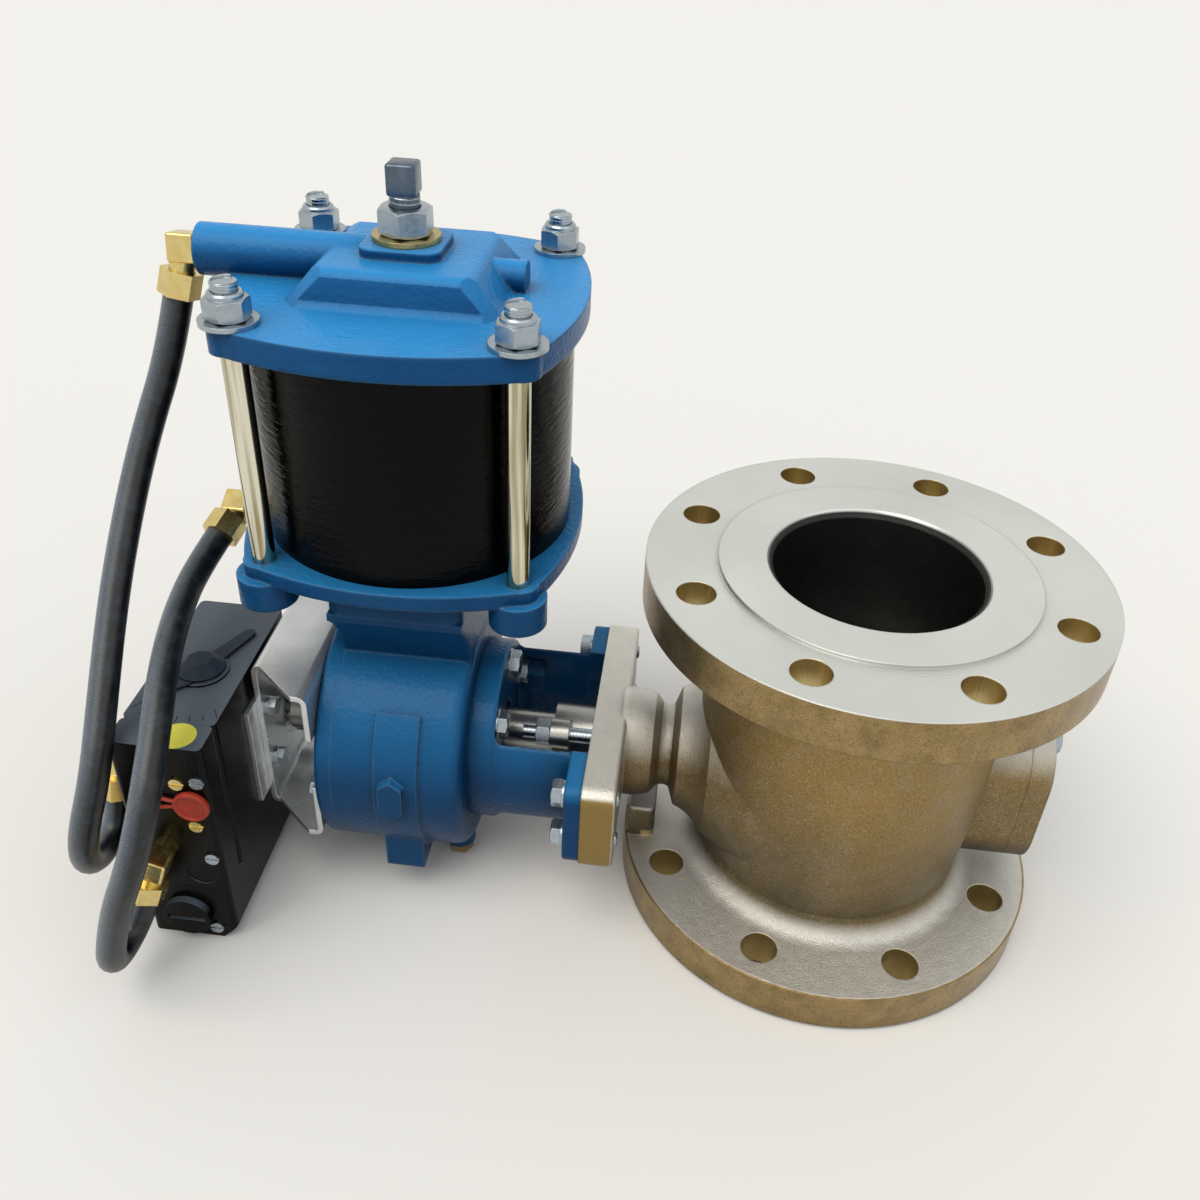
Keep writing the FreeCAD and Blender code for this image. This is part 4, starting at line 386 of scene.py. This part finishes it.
def black_gloss():
    """Black enamel on a rolled tube, with long shallow waves round it."""
    material, tree, shader, place, edge = start_material("gloss black enamel", 0.6 * MM)
    waves = noise(tree, stretched(tree, place, (1, 1, 4.5)), 12 * MM, 4, 0.6)
    set_up(tree, shader, Base_Color=linear("030303"), Roughness=0.08, IOR=1.5,
           Specular_IOR_Level=0.09, Normal=bump(tree, waves, 0.6 * MM, edge))
    return material


def chrome():
    """Hard chrome, ground and polished; from the rod nuts up the rods look zinc plated."""
    material, tree, shader, place, _ = start_material("hard chrome")
    streaks = noise(tree, stretched(tree, place, (1, 1, 0.03)), 3.2 * MM, 2)
    haze = noise(tree, place, 4 * MM, 3)
    height = axes(tree, place)[2]
    ground = blend(tree, between(tree, streaks, 0, 1, 0.38, 0.62), "99906c", "dedac8")
    set_up(tree, shader, Metallic=1.0, Roughness=between(tree, haze, 0.07, 0.18),
           Base_Color=blend(tree, between(tree, height, 0, 1, *ROD_NUTS), ground, "a4adb3"))
    return material


def zinc(name, bright, dull):
    """Zinc plate with a cloudy, slightly uneven gloss: a cool grey if clear."""
    material, tree, shader, place, edge = start_material(name, 0.5 * MM)
    cloud = noise(tree, place, 5 * MM, 4)
    fine = noise(tree, place, 0.8 * MM, 2)
    set_up(tree, shader, Base_Color=blend(tree, cloud, dull, bright), Metallic=1.0,
           Roughness=between(tree, cloud, 0.2, 0.36),
           Normal=bump(tree, fine, 0.05 * MM, edge))
    return material


def brass():
    """Machined brass, a little dulled in patches."""
    material, tree, shader, place, _ = start_material("machined brass")
    cloud = noise(tree, place, 6 * MM, 3)
    set_up(tree, shader, Base_Color=blend(tree, cloud, "c6aa64", "ecdc9c"), Metallic=1.0,
           Roughness=between(tree, cloud, 0.2, 0.34))
    return material


def rubber(name, colour, worn, roughness=0.5, sheen_colour=None):
    """Extruded or moulded rubber with a fine skin and light scuffs, and, if a sheen colour is
    given, a painted highlight on the side turned away from the valve."""
    material, tree, shader, place, edge = start_material(name, 0.5 * MM)
    scuffs = noise(tree, place, 7 * MM, 4, 0.65)
    skin = noise(tree, place, 0.7 * MM, 2)
    tone = blend(tree, between(tree, scuffs, 0, 1, 0.46, 0.8), colour, worn)
    if sheen_colour:
        # Painted highlight on the side that faces away from the valve, mottled by the skin
        outward = axes(tree, surface_normal(tree))[0]
        painted_sheen = times(tree, between(tree, outward, 1, 0, -0.8, 0.4),
                      between(tree, skin, 0.45, 1, 0.35, 0.65))
        tone = blend(tree, painted_sheen, tone, sheen_colour)
    set_up(tree, shader, Base_Color=tone,
           Roughness=between(tree, scuffs, roughness - 0.12, roughness + 0.12), IOR=1.5,
           Normal=bump(tree, skin, 0.08 * MM, edge))
    return material


def stoved_black(name, side, top, gloss):
    """Stoved aluminium or moulded nylon, both dark: glossy sides, and a matt grey on the faces
    that look up, part dust and part painted light."""
    material, tree, shader, place, edge = start_material(name, 0.7 * MM)
    pebble = noise(tree, place, 1.4 * MM, 2)
    cloud = noise(tree, place, 30 * MM, 3)
    upward = axes(tree, surface_normal(tree))[2]
    # Faces that look up turn grey and matt: dust and painted light
    dust_and_light = times(tree, between(tree, upward, 0, 1, 0.3, 0.9), between(tree, cloud, 0.8, 1.0))
    set_up(tree, shader, Base_Color=blend(tree, dust_and_light, side, top), IOR=1.5,
           Specular_IOR_Level=0.1, Roughness=between(tree, dust_and_light, gloss, 0.5),
           Normal=bump(tree, pebble, 0.07 * MM, edge))
    return material


def polished_sheet():
    """Cold rolled stainless sheet, bright, with a soft grain along the strip."""
    material, tree, shader, place, edge = start_material("bright stainless sheet", 0.8 * MM)
    grain = noise(tree, stretched(tree, place, (1, 0.08, 0.08)), 0.8 * MM, 2)
    cloud = noise(tree, place, 26 * MM, 2)
    set_up(tree, shader, Base_Color=blend(tree, cloud, "e2e5e6", "c4c8c9"), Metallic=0.75,
           Roughness=between(tree, cloud, 0.2, 0.34),
           Normal=bump(tree, grain, 0.02 * MM, edge))
    return material


def plain(name, colour, second, roughness, metallic=0.0, grain=3 * MM):
    """Moulded or pressed parts that hardly show: two close tones and a fine skin."""
    material, tree, shader, place, _ = start_material(name)
    cloud = noise(tree, place, grain, 3)
    set_up(tree, shader, Base_Color=blend(tree, cloud, colour, second), Metallic=metallic,
           Roughness=between(tree, cloud, roughness - 0.06, roughness + 0.06),
           Normal=bump(tree, cloud, 0.04 * MM))
    return material


def slot_finishes():
    """One material for each material slot of the record."""
    return {
        "cast_stainless": cast_stainless(),
        "machined_steel": machined_steel(),
        "blue_paint": cast_paint(),
        "black_gloss_paint": black_gloss(),
        "bright_chrome": chrome(),
        "zinc_plate": zinc("clear zinc plate", "b9c2c8", "8b97a0"),
        "yellow_zinc": zinc("yellow zinc plate", "c7b57c", "9b8a55"),
        "brass": brass(),
        "bronze": plain("sintered bronze", "9a7442", "86633a", 0.4, 1.0),
        "sealing": plain("pressed PTFE", "dedcd6", "d2d0c8", 0.5),
        "seal_rubber": rubber("nitrile rubber", "101010", "1c1c1c"),
        # The last colour is the hose's painted highlight
        "hose_rubber": rubber("smooth hose rubber", "0d0f12", "323942", 0.36, "7e8a96"),
        "red_rubber": rubber("red soft rubber", "b4331c", "c8482c", 0.45),
        # The third colour is for faces that look up, here and for the nylon below: dust and
        # painted light
        "positioner_black": stoved_black("black stoved aluminium", "0d0b07", "69737d", 0.26),
        "polished_stainless": polished_sheet(),
        "pointer_dark": stoved_black("black moulded nylon", "242b34", "3d4754", 0.3),
        "piston_aluminium": plain("turned aluminium", "c2c3c5", "b4b5b7", 0.3, 1.0),
        "plug_tan": plain("tan moulded plug", "8e7249", "7a6240", 0.55),
    }


class VALVE_OT_finishes(bpy.types.Operator):
    """Give every solid the material of its slot"""
    bl_idname = "valve.finishes"
    bl_label = "Finishes of the solids"

    def execute(self, context):
        finishes = slot_finishes()
        for part in frame["record"]["subparts"]:
            node = frame["nodes"][part["node"]]
            for entry in node.material_slots:
                entry.link = "OBJECT"
                entry.material = finishes[part["material_slot"]]
        return {"FINISHED"}


# Stage

def seen_by_eye(tree):
    """1 for a ray that shows the background: straight, mirrored or through glass."""
    path = add(tree, "ShaderNodeLightPath").outputs
    return higher(tree, higher(tree, path["Is Camera Ray"], path["Is Glossy Ray"]),
                  path["Is Transmission Ray"])


class VALVE_OT_stage(bpy.types.Operator):
    """Floor, light, background and the camera of the photograph"""
    bl_idname = "valve.stage"
    bl_label = "Stage and camera"

    # Where the photograph was taken from, its right hand and viewing directions, and its lens
    camera_at = (-0.0980, -0.4799, 0.5116)
    camera_right = (0.9932, 0.1086, 0.0427)
    camera_forward = (-0.0645, 0.8157, -0.5749)
    lens = 34.24
    sensor = 36
    floor_radius = 14
    wall_light = 0.16
    ceiling_light = 0.74
    lamps = (
        # name, heading, strength, spread in degrees, colour
        ("key sun", (0.35, 0.45, -1.0), 1.4, 45, "fff8ee"),
        ("fill sun", (-0.7, 0.5, -0.9), 0.35, 60, "f2f6ff"),
    )

    def execute(self, context):
        context.scene.view_settings.view_transform = "Standard"
        self.set_camera(context.scene)
        self.set_floor()
        self.set_room(context.scene)
        for name, heading, strength, spread, tone in self.lamps:
            lamp = bpy.data.lights.new(name, "SUN")
            lamp.energy = strength
            lamp.angle = math.radians(spread)
            lamp.color = linear(tone)[:3]
            holder = link(bpy.data.objects.new(name, lamp))
            holder.rotation_mode = "QUATERNION"
            holder.rotation_quaternion = Vector(heading).to_track_quat("-Z", "Y")
        return {"FINISHED"}

    def set_camera(self, scene):
        data = bpy.data.cameras.new("photo camera")
        data.sensor_width = self.sensor
        data.lens = self.lens
        data.clip_start = 0.01
        camera = link(bpy.data.objects.new("photo camera", data))
        right = Vector(self.camera_right).normalized()
        forward = Vector(self.camera_forward).normalized()
        up = right.cross(forward).normalized()
        turn = Matrix((right, up, -forward)).transposed().to_4x4()
        camera.matrix_world = Matrix.Translation(self.camera_at) @ turn
        scene.camera = camera

    def set_floor(self):
        floor = mesh_object("floor", lambda bm: bmesh.ops.create_circle(
            bm, cap_ends=True, segments=64, radius=self.floor_radius,
            matrix=Matrix.Translation((0, 0, -0.4 * MM))))
        material, tree, shader, _, _ = start_material("pale floor")
        set_up(tree, shader, Roughness=0.9, Specular_IOR_Level=0.1,
               Base_Color=blend(tree, seen_by_eye(tree), "a9a7a2", "f2f1ed"))
        floor.data.materials.append(material)

    def set_room(self, scene):
        """An even pale wall, and overhead for the light itself a soft bright ceiling."""
        world = bpy.data.worlds.new("studio")
        scene.world = world
        world.use_nodes = True
        tree = world.node_tree
        tree.nodes.clear()
        upward = axes(tree, add(tree, "ShaderNodeTexCoord").outputs["Generated"])[2]
        strength = between(tree, upward, self.wall_light, self.ceiling_light, 0.0, 0.8)
        light = add(tree, "ShaderNodeBackground", {"Color": linear("f4f6f8"),
                                                   "Strength": strength})
        back = add(tree, "ShaderNodeBackground", {"Color": linear("f0efeb"), "Strength": 1.0})
        both = add(tree, "ShaderNodeMixShader", {0: seen_by_eye(tree), 1: light.outputs[0],
                                                 2: back.outputs[0]})
        add(tree, "ShaderNodeOutputWorld", {"Surface": both.outputs[0]})


# Hoses

def tube_along(name, places, radius, roundness, steps):
    """A round tube on a quadratic spline, from places in millimetres."""
    curve = bpy.data.curves.new(name + "_line", "CURVE")
    curve.dimensions = "3D"
    curve.bevel_depth = radius
    curve.bevel_resolution = roundness
    curve.resolution_u = steps
    curve.use_fill_caps = True
    spline = curve.splines.new("NURBS")
    spline.points.add(len(places) - 1)
    for point, place in zip(spline.points, places):
        point.co = (*(Vector(place) * MM), 1)
    spline.order_u = 3
    spline.use_endpoint_u = True
    return link(bpy.data.objects.new(name, curve))


class VALVE_OT_hoses(bpy.types.Operator):
    """The two air hoses between the cylinder and the positioner"""
    bl_idname = "valve.hoses"
    bl_label = "Air hoses"

    routes = {
        "hose_upper": ((-344.27, 19.61, 311.05), (-351, 14, 283), (-361, -4, 250),
                       (-365, -30, 218), (-365, -60, 186), (-361, -92, 156),
                       (-357, -120, 130), (-363, -133, 102), (-371, -125, 75),
                       (-377, -104, 57), (-376, -84, 61), (-375.08, -79.84, 77.62)),
        "hose_lower": ((-336.19, 1.54, 189.24), (-342, -18, 180), (-340, -48, 175),
                       (-334, -80, 169), (-327, -112, 155), (-324, -138, 136),
                       (-329, -152, 109), (-342, -155, 78), (-358, -150, 26),
                       (-356.5, -118.1, 26), (-349.25, -116.55, 47.29)),
    }
    lengths = {"hose_upper": 0.355, "hose_lower": 0.312}

    def execute(self, context):
        diameter = scene_sizes().hose_diameter
        for name, places in self.routes.items():
            piece = tube_along("air_" + name, places, diameter / 2, 6, 16)
            finish_piece(piece, finish("smooth hose rubber"),
                         replaces=[name])
        return {"FINISHED"}


# Fasteners: one chamfered shape for each family, set on points by geometry nodes

def ring_of(bm, places):
    return [bm.verts.new(place) for place in places]


def bridge(bm, low, high):
    count = len(low)
    for i in range(count):
        j = (i + 1) % count
        bm.faces.new((low[i], low[j], high[j], high[i]))


def hexagon_fastener(bm, flats, tall, hole=0.0, collar=0.0, shank=0.0, reach=0.0,
                     washer=0.0, washer_tall=0.0):
    """A chamfered hexagon on +Z with a hole or a shank. A hole makes it a nut, a collar a lock
    nut, a shank a bolt. A washer, plain and round, lies under it."""
    half = flats / 2
    angles = [math.radians(6 * i) for i in range(60)]
    edge = [half / math.cos((angle + math.pi / 6) % (math.pi / 3) - math.pi / 6)
            for angle in angles]
    face = half * 0.96
    drop = [max(0.0, radius - face) * math.tan(math.radians(30)) for radius in edge]

    def circle(radius, height):
        return ring_of(bm, [(radius * math.cos(a), radius * math.sin(a), height)
                            for a in angles])

    def rim(heights):
        return ring_of(bm, [(r * math.cos(a), r * math.sin(a), h + washer_tall)
                            for r, a, h in zip(edge, angles, heights)])

    if shank:
        rings = [circle(shank * 0.8, -reach), circle(shank, -reach + shank * 0.2),
                 circle(shank, 0.0)]
    else:
        rings = [circle(hole, 0.0)]
    if washer:
        rings += [circle(washer, 0.0), circle(washer, washer_tall)]
    rings += [circle(face, washer_tall), rim([d if hole else 0.0 for d in drop]),
              rim([tall - d for d in drop]), circle(face, washer_tall + tall)]
    if collar:
        rings += [circle(half * 0.88, tall), circle(half * 0.88, tall + collar * 0.55),
                  circle(half * 0.8, tall + collar * 0.9), circle(half * 0.68, tall + collar)]
    if hole:
        rings += [circle(hole + 0.25 * MM, tall + collar), circle(hole, tall + collar - 0.4 * MM)]
    for low, high in zip(rings, rings[1:]):
        bridge(bm, low, high)
    if hole:
        bridge(bm, rings[-1], rings[0])
    else:
        bm.faces.new(rings[-1])
        bm.faces.new(reversed(rings[0]))
    bmesh.ops.recalc_face_normals(bm, faces=bm.faces)


def points_tree(name, inputs, shape):
    """A geometry nodes tree that sets one shape on every point, turned to the point's heading.
    shape(tree, given) makes it from the tree's inputs."""
    tree = bpy.data.node_groups.new(name, "GeometryNodeTree")
    tree.interface.new_socket("Geometry", in_out="OUTPUT", socket_type="NodeSocketGeometry")
    for label, kind in (("Geometry", "Geometry"), *inputs, ("Finish", "Material")):
        tree.interface.new_socket(label, in_out="INPUT", socket_type=f"NodeSocket{kind}")
    given = add(tree, "NodeGroupInput").outputs
    heading = add(tree, "GeometryNodeInputNamedAttribute", {"Name": "heading"},
                  data_type="FLOAT_VECTOR")
    turn = add(tree, "FunctionNodeAlignRotationToVector",
               {"Vector": heading.outputs["Attribute"]}, axis="Z")
    placed = add(tree, "GeometryNodeInstanceOnPoints",
                 {"Points": given["Geometry"], "Instance": shape(tree, given),
                  "Rotation": turn.outputs["Rotation"]})
    whole = add(tree, "GeometryNodeRealizeInstances",
                {"Geometry": placed.outputs["Instances"]})
    painted = add(tree, "GeometryNodeSetMaterial",
                  {"Geometry": whole.outputs["Geometry"], "Material": given["Finish"]})
    add(tree, "NodeGroupOutput", {"Geometry": painted.outputs["Geometry"]})
    return tree


def given_shape(tree, given):
    return add(tree, "GeometryNodeObjectInfo", {"Object": given["Shape"]},
               transform_space="ORIGINAL").outputs["Geometry"]


def screw_thread(tree, given):
    """A spiral with a three sided profile."""
    turns = add(tree, "ShaderNodeMath", {0: given["Length"], 1: given["Pitch"]},
                operation="DIVIDE").outputs[0]
    crest = times(tree, given["Pitch"], 0.5)
    middle = add(tree, "ShaderNodeMath", {0: given["Radius"], 1: crest},
                 operation="SUBTRACT").outputs[0]
    spiral = add(tree, "GeometryNodeCurveSpiral",
                 {"Resolution": 20, "Rotations": turns, "Start Radius": middle,
                  "End Radius": middle, "Height": given["Length"]})
    profile = add(tree, "GeometryNodeCurvePrimitiveCircle",
                  {"Resolution": 3, "Radius": crest}, mode="RADIUS")
    return add(tree, "GeometryNodeCurveToMesh",
               {"Curve": spiral.outputs["Curve"], "Profile Curve": profile.outputs["Curve"],
                "Fill Caps": True}).outputs["Mesh"]


def grow(name, tree, places, heading, **values):
    """Run a tree on points given in millimetres and keep the result as a plain mesh."""
    mesh = bpy.data.meshes.new(name + "_points")
    mesh.from_pydata([Vector(place) * MM for place in places], [], [])
    along = mesh.attributes.new("heading", "FLOAT_VECTOR", "POINT")
    for entry in along.data:
        entry.vector = heading
    seed = link(bpy.data.objects.new(name + "_points", mesh))
    modifier = seed.modifiers.new("grow", "NODES")
    modifier.node_group = tree
    for item in tree.interface.items_tree:
        if item.in_out == "INPUT" and item.name in values:
            modifier[item.identifier] = values[item.name]
    result = evaluated_mesh(seed)
    bpy.data.objects.remove(seed)
    piece = link(bpy.data.objects.new(name, result))
    smooth(piece)
    return piece


class VALVE_OT_fasteners(bpy.types.Operator):
    """Chamfered bolt heads and nuts in place of the plain ones"""
    bl_idname = "valve.fasteners"
    bl_label = "Bolt heads and nuts"

    families = (
        # piece, node, sizes in millimetres, heading, points
        ("end_cap_bolt_heads", "end_cap_bolts", dict(flats=14.3, tall=6.5, shank=4.6, reach=12),
         (1, 0, 0), [(106, 0, SHAFT_HEIGHT + 32), (106, 0, SHAFT_HEIGHT - 32)]),
        ("joint_bolt_heads", "yoke_valve_bolts",
         dict(flats=12.7, tall=5.5, shank=3.9, reach=28, washer=7.25, washer_tall=1.6),
         (-1, 0, 0), [(-143.5, y, z) for y, z in NECK_BOLTS]),
        ("yoke_ring_bolt_heads", "yoke_actuator_bolts",
         dict(flats=12.7, tall=5.2, shank=3.9, reach=12, washer=7.9, washer_tall=1.3),
         (1, 0, 0), [(-185, y, z) for y, z in RING_BOLTS]),
        ("gland_stud_nuts", "gland_nuts", dict(flats=13, tall=8, hole=4.05), (-1, 0, 0),
         [(-157, y, z) for y, z in GLAND_STUDS]),
        ("bracket_bolt_heads", "bracket_screws",
         dict(flats=10, tall=4, shank=2.9, reach=3), (-1, 0, 0),
         [(-278, y * a, z) for y, z in ((52, 70), (35, 124)) for a in (-1, 1)]),
        ("tie_rod_lock_nuts", "tie_rod_nuts", dict(flats=17.5, tall=9.4, hole=5.6, collar=2.6),
         (0, 0, 1), [(x, y, 328.2) for x, y in TIE_RODS]),
        ("stop_lock_nut", "stop_screw_nut", dict(flats=22, tall=12, hole=7.05), (0, 0, 1),
         [(*STOP_SCREW, 349.1)]),
    )

    def execute(self, context):
        tree = points_tree("shape on points", [("Shape", "Object")], given_shape)
        for name, node, sizes, heading, places in self.families:
            metres = {key: value * MM for key, value in sizes.items()}
            shape = mesh_object(name + "_shape", lambda bm: hexagon_fastener(bm, **metres))
            piece = grow(name, tree, places, heading, Shape=shape,
                         Finish=finish("clear zinc plate"))
            bpy.data.objects.remove(shape)
            finish_piece(piece, None, replaces=[node])
        return {"FINISHED"}


class VALVE_OT_threads(bpy.types.Operator):
    """Screw threads where a rod, stud or bolt end shows"""
    bl_idname = "valve.threads"
    bl_label = "Screw threads"

    runs = (
        # piece, rod radius, pitch, length, heading, points
        ("tie_rod_threads", 5.7, 1.5, 4.2, (0, 0, 1), [(x, y, 340.2) for x, y in TIE_RODS]),
        ("stop_screw_thread", 7.0, 2.0, 4.8, (0, 0, 1), [(*STOP_SCREW, 361.1)]),
        ("gland_stud_ends", 4.0, 1.4, 6.8, (-1, 0, 0), [(-165, y, z) for y, z in GLAND_STUDS]),
        ("gland_stud_roots", 4.0, 1.4, 12.2, (-1, 0, 0),
         [(-134.7, y, z) for y, z in GLAND_STUDS]),
    )

    def execute(self, context):
        tree = points_tree("thread on points", [("Radius", "Float"), ("Pitch", "Float"),
                                                ("Length", "Float")], screw_thread)
        proud = scene_sizes().thread_proud
        for name, radius, pitch, length, heading, places in self.runs:
            piece = grow(name, tree, places, heading, Radius=radius * MM + proud,
                         Pitch=pitch * MM, Length=length * MM,
                         Finish=finish("clear zinc plate"))
            finish_piece(piece, None)
        return {"FINISHED"}


# Positioner parts and the stop screw

def lathe(bm, profile, place, steps=48):
    """A closed turned shape about Z from (radius, height) pairs in millimetres, bottom first,
    moved to its place. A third value makes a ring a polygon with that many sides."""
    rings = []
    for radius, height, *sides in profile:
        row = []
        for i in range(steps):
            angle = 2 * math.pi * i / steps
            reach = radius
            if sides:
                part = math.pi / sides[0]
                reach = radius * math.cos(part) / math.cos(angle % (2 * part) - part)
            row.append((reach * math.cos(angle) * MM, reach * math.sin(angle) * MM,
                        height * MM))
        rings.append(ring_of(bm, row))
    for low, high in zip(rings, rings[1:]):
        bridge(bm, low, high)
    bm.faces.new(reversed(rings[0]))
    bm.faces.new(rings[-1])
    bmesh.ops.recalc_face_normals(bm, faces=bm.faces)
    bmesh.ops.transform(bm, matrix=place, verts=bm.verts)


def block(bm, place, size):
    """A block about its middle, moved to its place. The size is in millimetres."""
    bmesh.ops.create_cube(bm, size=1, matrix=place @ Matrix.Diagonal((*(Vector(size) * MM), 1)))


class VALVE_OT_stop_screw(bpy.types.Operator):
    """The travel stop screw with its rounded square head"""
    bl_idname = "valve.stop_screw"
    bl_label = "Stop screw"

    # In millimetres: the square head about its middle, and the outline of the stem
    head_height = 373
    head_size = (13.4, 13.4, 14)
    stem_outline = ((6.2, 277.4), (6.8, 278.2), (6.8, 366.5))

    def execute(self, context):
        head = mesh_object("stop_screw_square", lambda bm: block(
            bm, Matrix.Translation(Vector((*STOP_SCREW, self.head_height)) * MM),
            self.head_size))
        soften(head, 1.6 * MM)
        stem = mesh_object("stop_screw_stem", lambda bm: lathe(
            bm, self.stem_outline, Matrix.Translation(Vector((*STOP_SCREW, 0)) * MM)))
        # A darker copy of the clear zinc: its darkness is a painted dark reflection
        dull = zinc("clear zinc plate, dull", "6d7b8b", "434f5b")
        for piece in (head, stem):
            smooth(piece)
            finish_piece(piece, dull)
        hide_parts("stop_screw")
        return {"FINISHED"}


class VALVE_OT_pointer(bpy.types.Operator):
    """The arrow plate and its faceted knob"""
    bl_idname = "valve.pointer"
    bl_label = "Dial pointer"

    # In millimetres, but for the angle in degrees: where the arrow points at rest
    outline = ((39, 0), (36, 3.2), (12, 4.6), (-8, 6), (-13, 5), (-23, 0), (-13, -5),
               (-8, -6), (12, -4.6), (36, -3.2))
    plate_tall = 1.2
    above_dial = 1.2
    angle = 67
    knob = ((12.5, 1.2), (12.5, 2.0), (11.6, 2.7), (7.2, 6.2, 8), (6.6, 6.6, 8))

    def execute(self, context):
        place = (Matrix.Translation((*DIAL, DIAL_TOP + self.above_dial * MM))
                 @ Matrix.Rotation(math.radians(self.angle), 4, "Z"))

        def plate(bm):
            low, high = (ring_of(bm, [(x * MM, y * MM, height * MM) for x, y in self.outline])
                         for height in (0, self.plate_tall))
            bridge(bm, low, high)
            bm.faces.new(reversed(low))
            bm.faces.new(high)
            bmesh.ops.transform(bm, matrix=place, verts=bm.verts)

        arrow = mesh_object("pointer_arrow", plate)
        soften(arrow, 0.3 * MM, 2)
        button = mesh_object("pointer_knob", lambda bm: lathe(bm, self.knob, place, 64))
        for piece in (arrow, button):
            smooth(piece, 12)
            finish_piece(piece, finish("black moulded nylon"), body="dial_pointer")
        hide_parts("pointer")
        return {"FINISHED"}


class VALVE_OT_small_parts(bpy.types.Operator):
    """The bare round sticker, the dial ticks and the red cap with its looped tail"""
    bl_idname = "valve.small_parts"
    bl_label = "Sticker, ticks and cap"

    # Places in metres, the dial's ticks in degrees and millimetres, outlines in millimetres
    sticker_at = (-0.328, -0.093)
    cap_at = (-0.3225, -0.1022, 0.100)
    tick_count = 8
    first_tick = -124
    tick_step = 9.5
    tick_circle = 40
    end_tick = 7
    inner_tick = 4
    cap = ((6.5, 0), (8.6, 0.3), (9.2, 1.6), (8.9, 3.2), (8.1, 3.9), (7.2, 3.5), (6.9, 2.9),
           (3.0, 2.9))
    tail = ((-330, -103.6, 101.6), (-335, -103.6, 102.2), (-343, -103.6, 104.4),
            (-346.4, -103.8, 102.6), (-346.4, -103.8, 97.6), (-343, -103.6, 95.8),
            (-335, -103.6, 97.9), (-330, -103.6, 98.4))

    def execute(self, context):
        sticker = mesh_object("bare_round_sticker", lambda bm: lathe(
            bm, [(9, 0), (9, 0.15)], Matrix.Translation((*self.sticker_at, DIAL_TOP)), 64))
        finish_piece(sticker, plain("yellow vinyl sticker", "fffa60", "f8f04e", 0.35,
                                    grain=8 * MM))

        def ticks(bm):
            """Ticks that end on one circle about the dial, the first and last one longer."""
            for index in range(self.tick_count):
                angle = math.radians(self.first_tick + self.tick_step * index)
                at_end = index in (0, self.tick_count - 1)
                length = self.end_tick if at_end else self.inner_tick
                place = (Matrix.Translation((*DIAL, DIAL_TOP + 0.05 * MM))
                         @ Matrix.Rotation(angle, 4, "Z")
                         @ Matrix.Translation(((self.tick_circle - length / 2) * MM, 0, 0)))
                block(bm, place, (length, 0.5, 0.12))

        marks = mesh_object("dial_ticks", ticks)
        finish_piece(marks, plain("engraved line, filled black", "08080a", "0b0b0d", 0.6))

        button = mesh_object("red_cap", lambda bm: lathe(
            bm, self.cap, Matrix.Translation(self.cap_at)
            @ Matrix.Rotation(math.radians(90), 4, "X")))
        smooth(button, 50)
        line = tube_along("red_cap_tail_line", self.tail, 1.0 * MM, 4, 10)
        tail = link(bpy.data.objects.new("red_cap_tail", evaluated_mesh(line)))
        bpy.data.objects.remove(line)
        for piece in (button, tail):
            finish_piece(piece, finish("red soft rubber"))
        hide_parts("rubber_cap")
        return {"FINISHED"}


# Sizes and colours

class ValveSizes(bpy.types.PropertyGroup):
    hose_diameter: bpy.props.FloatProperty(
        name="Hose diameter", description="Outside diameter of the air hoses",
        default=0.014, unit="LENGTH")
    thread_proud: bpy.props.FloatProperty(
        name="Thread, proud of rod", description="How far a thread crest stands off its rod",
        default=0.00025, unit="LENGTH")


class ValveColours(bpy.types.PropertyGroup):
    # The blue paint in two copies, lit and shaded: painted light for faces that look up, painted
    # shade for the rest
    paint_shaded: bpy.props.FloatVectorProperty(
        name="Paint, dark tone", description="Darker tone of the blue paint, linear",
        subtype="COLOR", default=linear("003c74")[:3])
    paint_lit: bpy.props.FloatVectorProperty(
        name="Paint, light tone", description="Lighter tone of the blue paint, linear",
        subtype="COLOR", default=linear("3498dc")[:3])


def scene_sizes():
    return bpy.context.scene.valve_sizes


def scene_colours():
    return bpy.context.scene.valve_colours


class VALVE_PT_panel(bpy.types.Panel):
    bl_label = "Control valve"
    bl_idname = "VALVE_PT_panel"
    bl_space_type = "VIEW_3D"
    bl_region_type = "UI"
    bl_category = "Control valve"

    def draw(self, context):
        for kind in OPERATORS:
            self.layout.operator(kind.bl_idname)
        for group in (scene_sizes(), scene_colours()):
            for name in group.__annotations__:
                self.layout.prop(group, name)


OPERATORS = (VALVE_OT_finishes, VALVE_OT_stage, VALVE_OT_hoses, VALVE_OT_fasteners,
             VALVE_OT_threads, VALVE_OT_stop_screw, VALVE_OT_pointer, VALVE_OT_small_parts)
CLASSES = (ValveSizes, ValveColours, *OPERATORS, VALVE_PT_panel)


def register():
    for kind in CLASSES:
        bpy.utils.register_class(kind)
    bpy.types.Scene.valve_sizes = bpy.props.PointerProperty(type=ValveSizes)
    bpy.types.Scene.valve_colours = bpy.props.PointerProperty(type=ValveColours)


def unregister():
    del bpy.types.Scene.valve_colours
    del bpy.types.Scene.valve_sizes
    for kind in reversed(CLASSES):
        bpy.utils.unregister_class(kind)


def main():
    register()
    for kind in OPERATORS:
        family, name = kind.bl_idname.split(".")
        getattr(getattr(bpy.ops, family), name)()


if __name__ == "__main__":
    main()
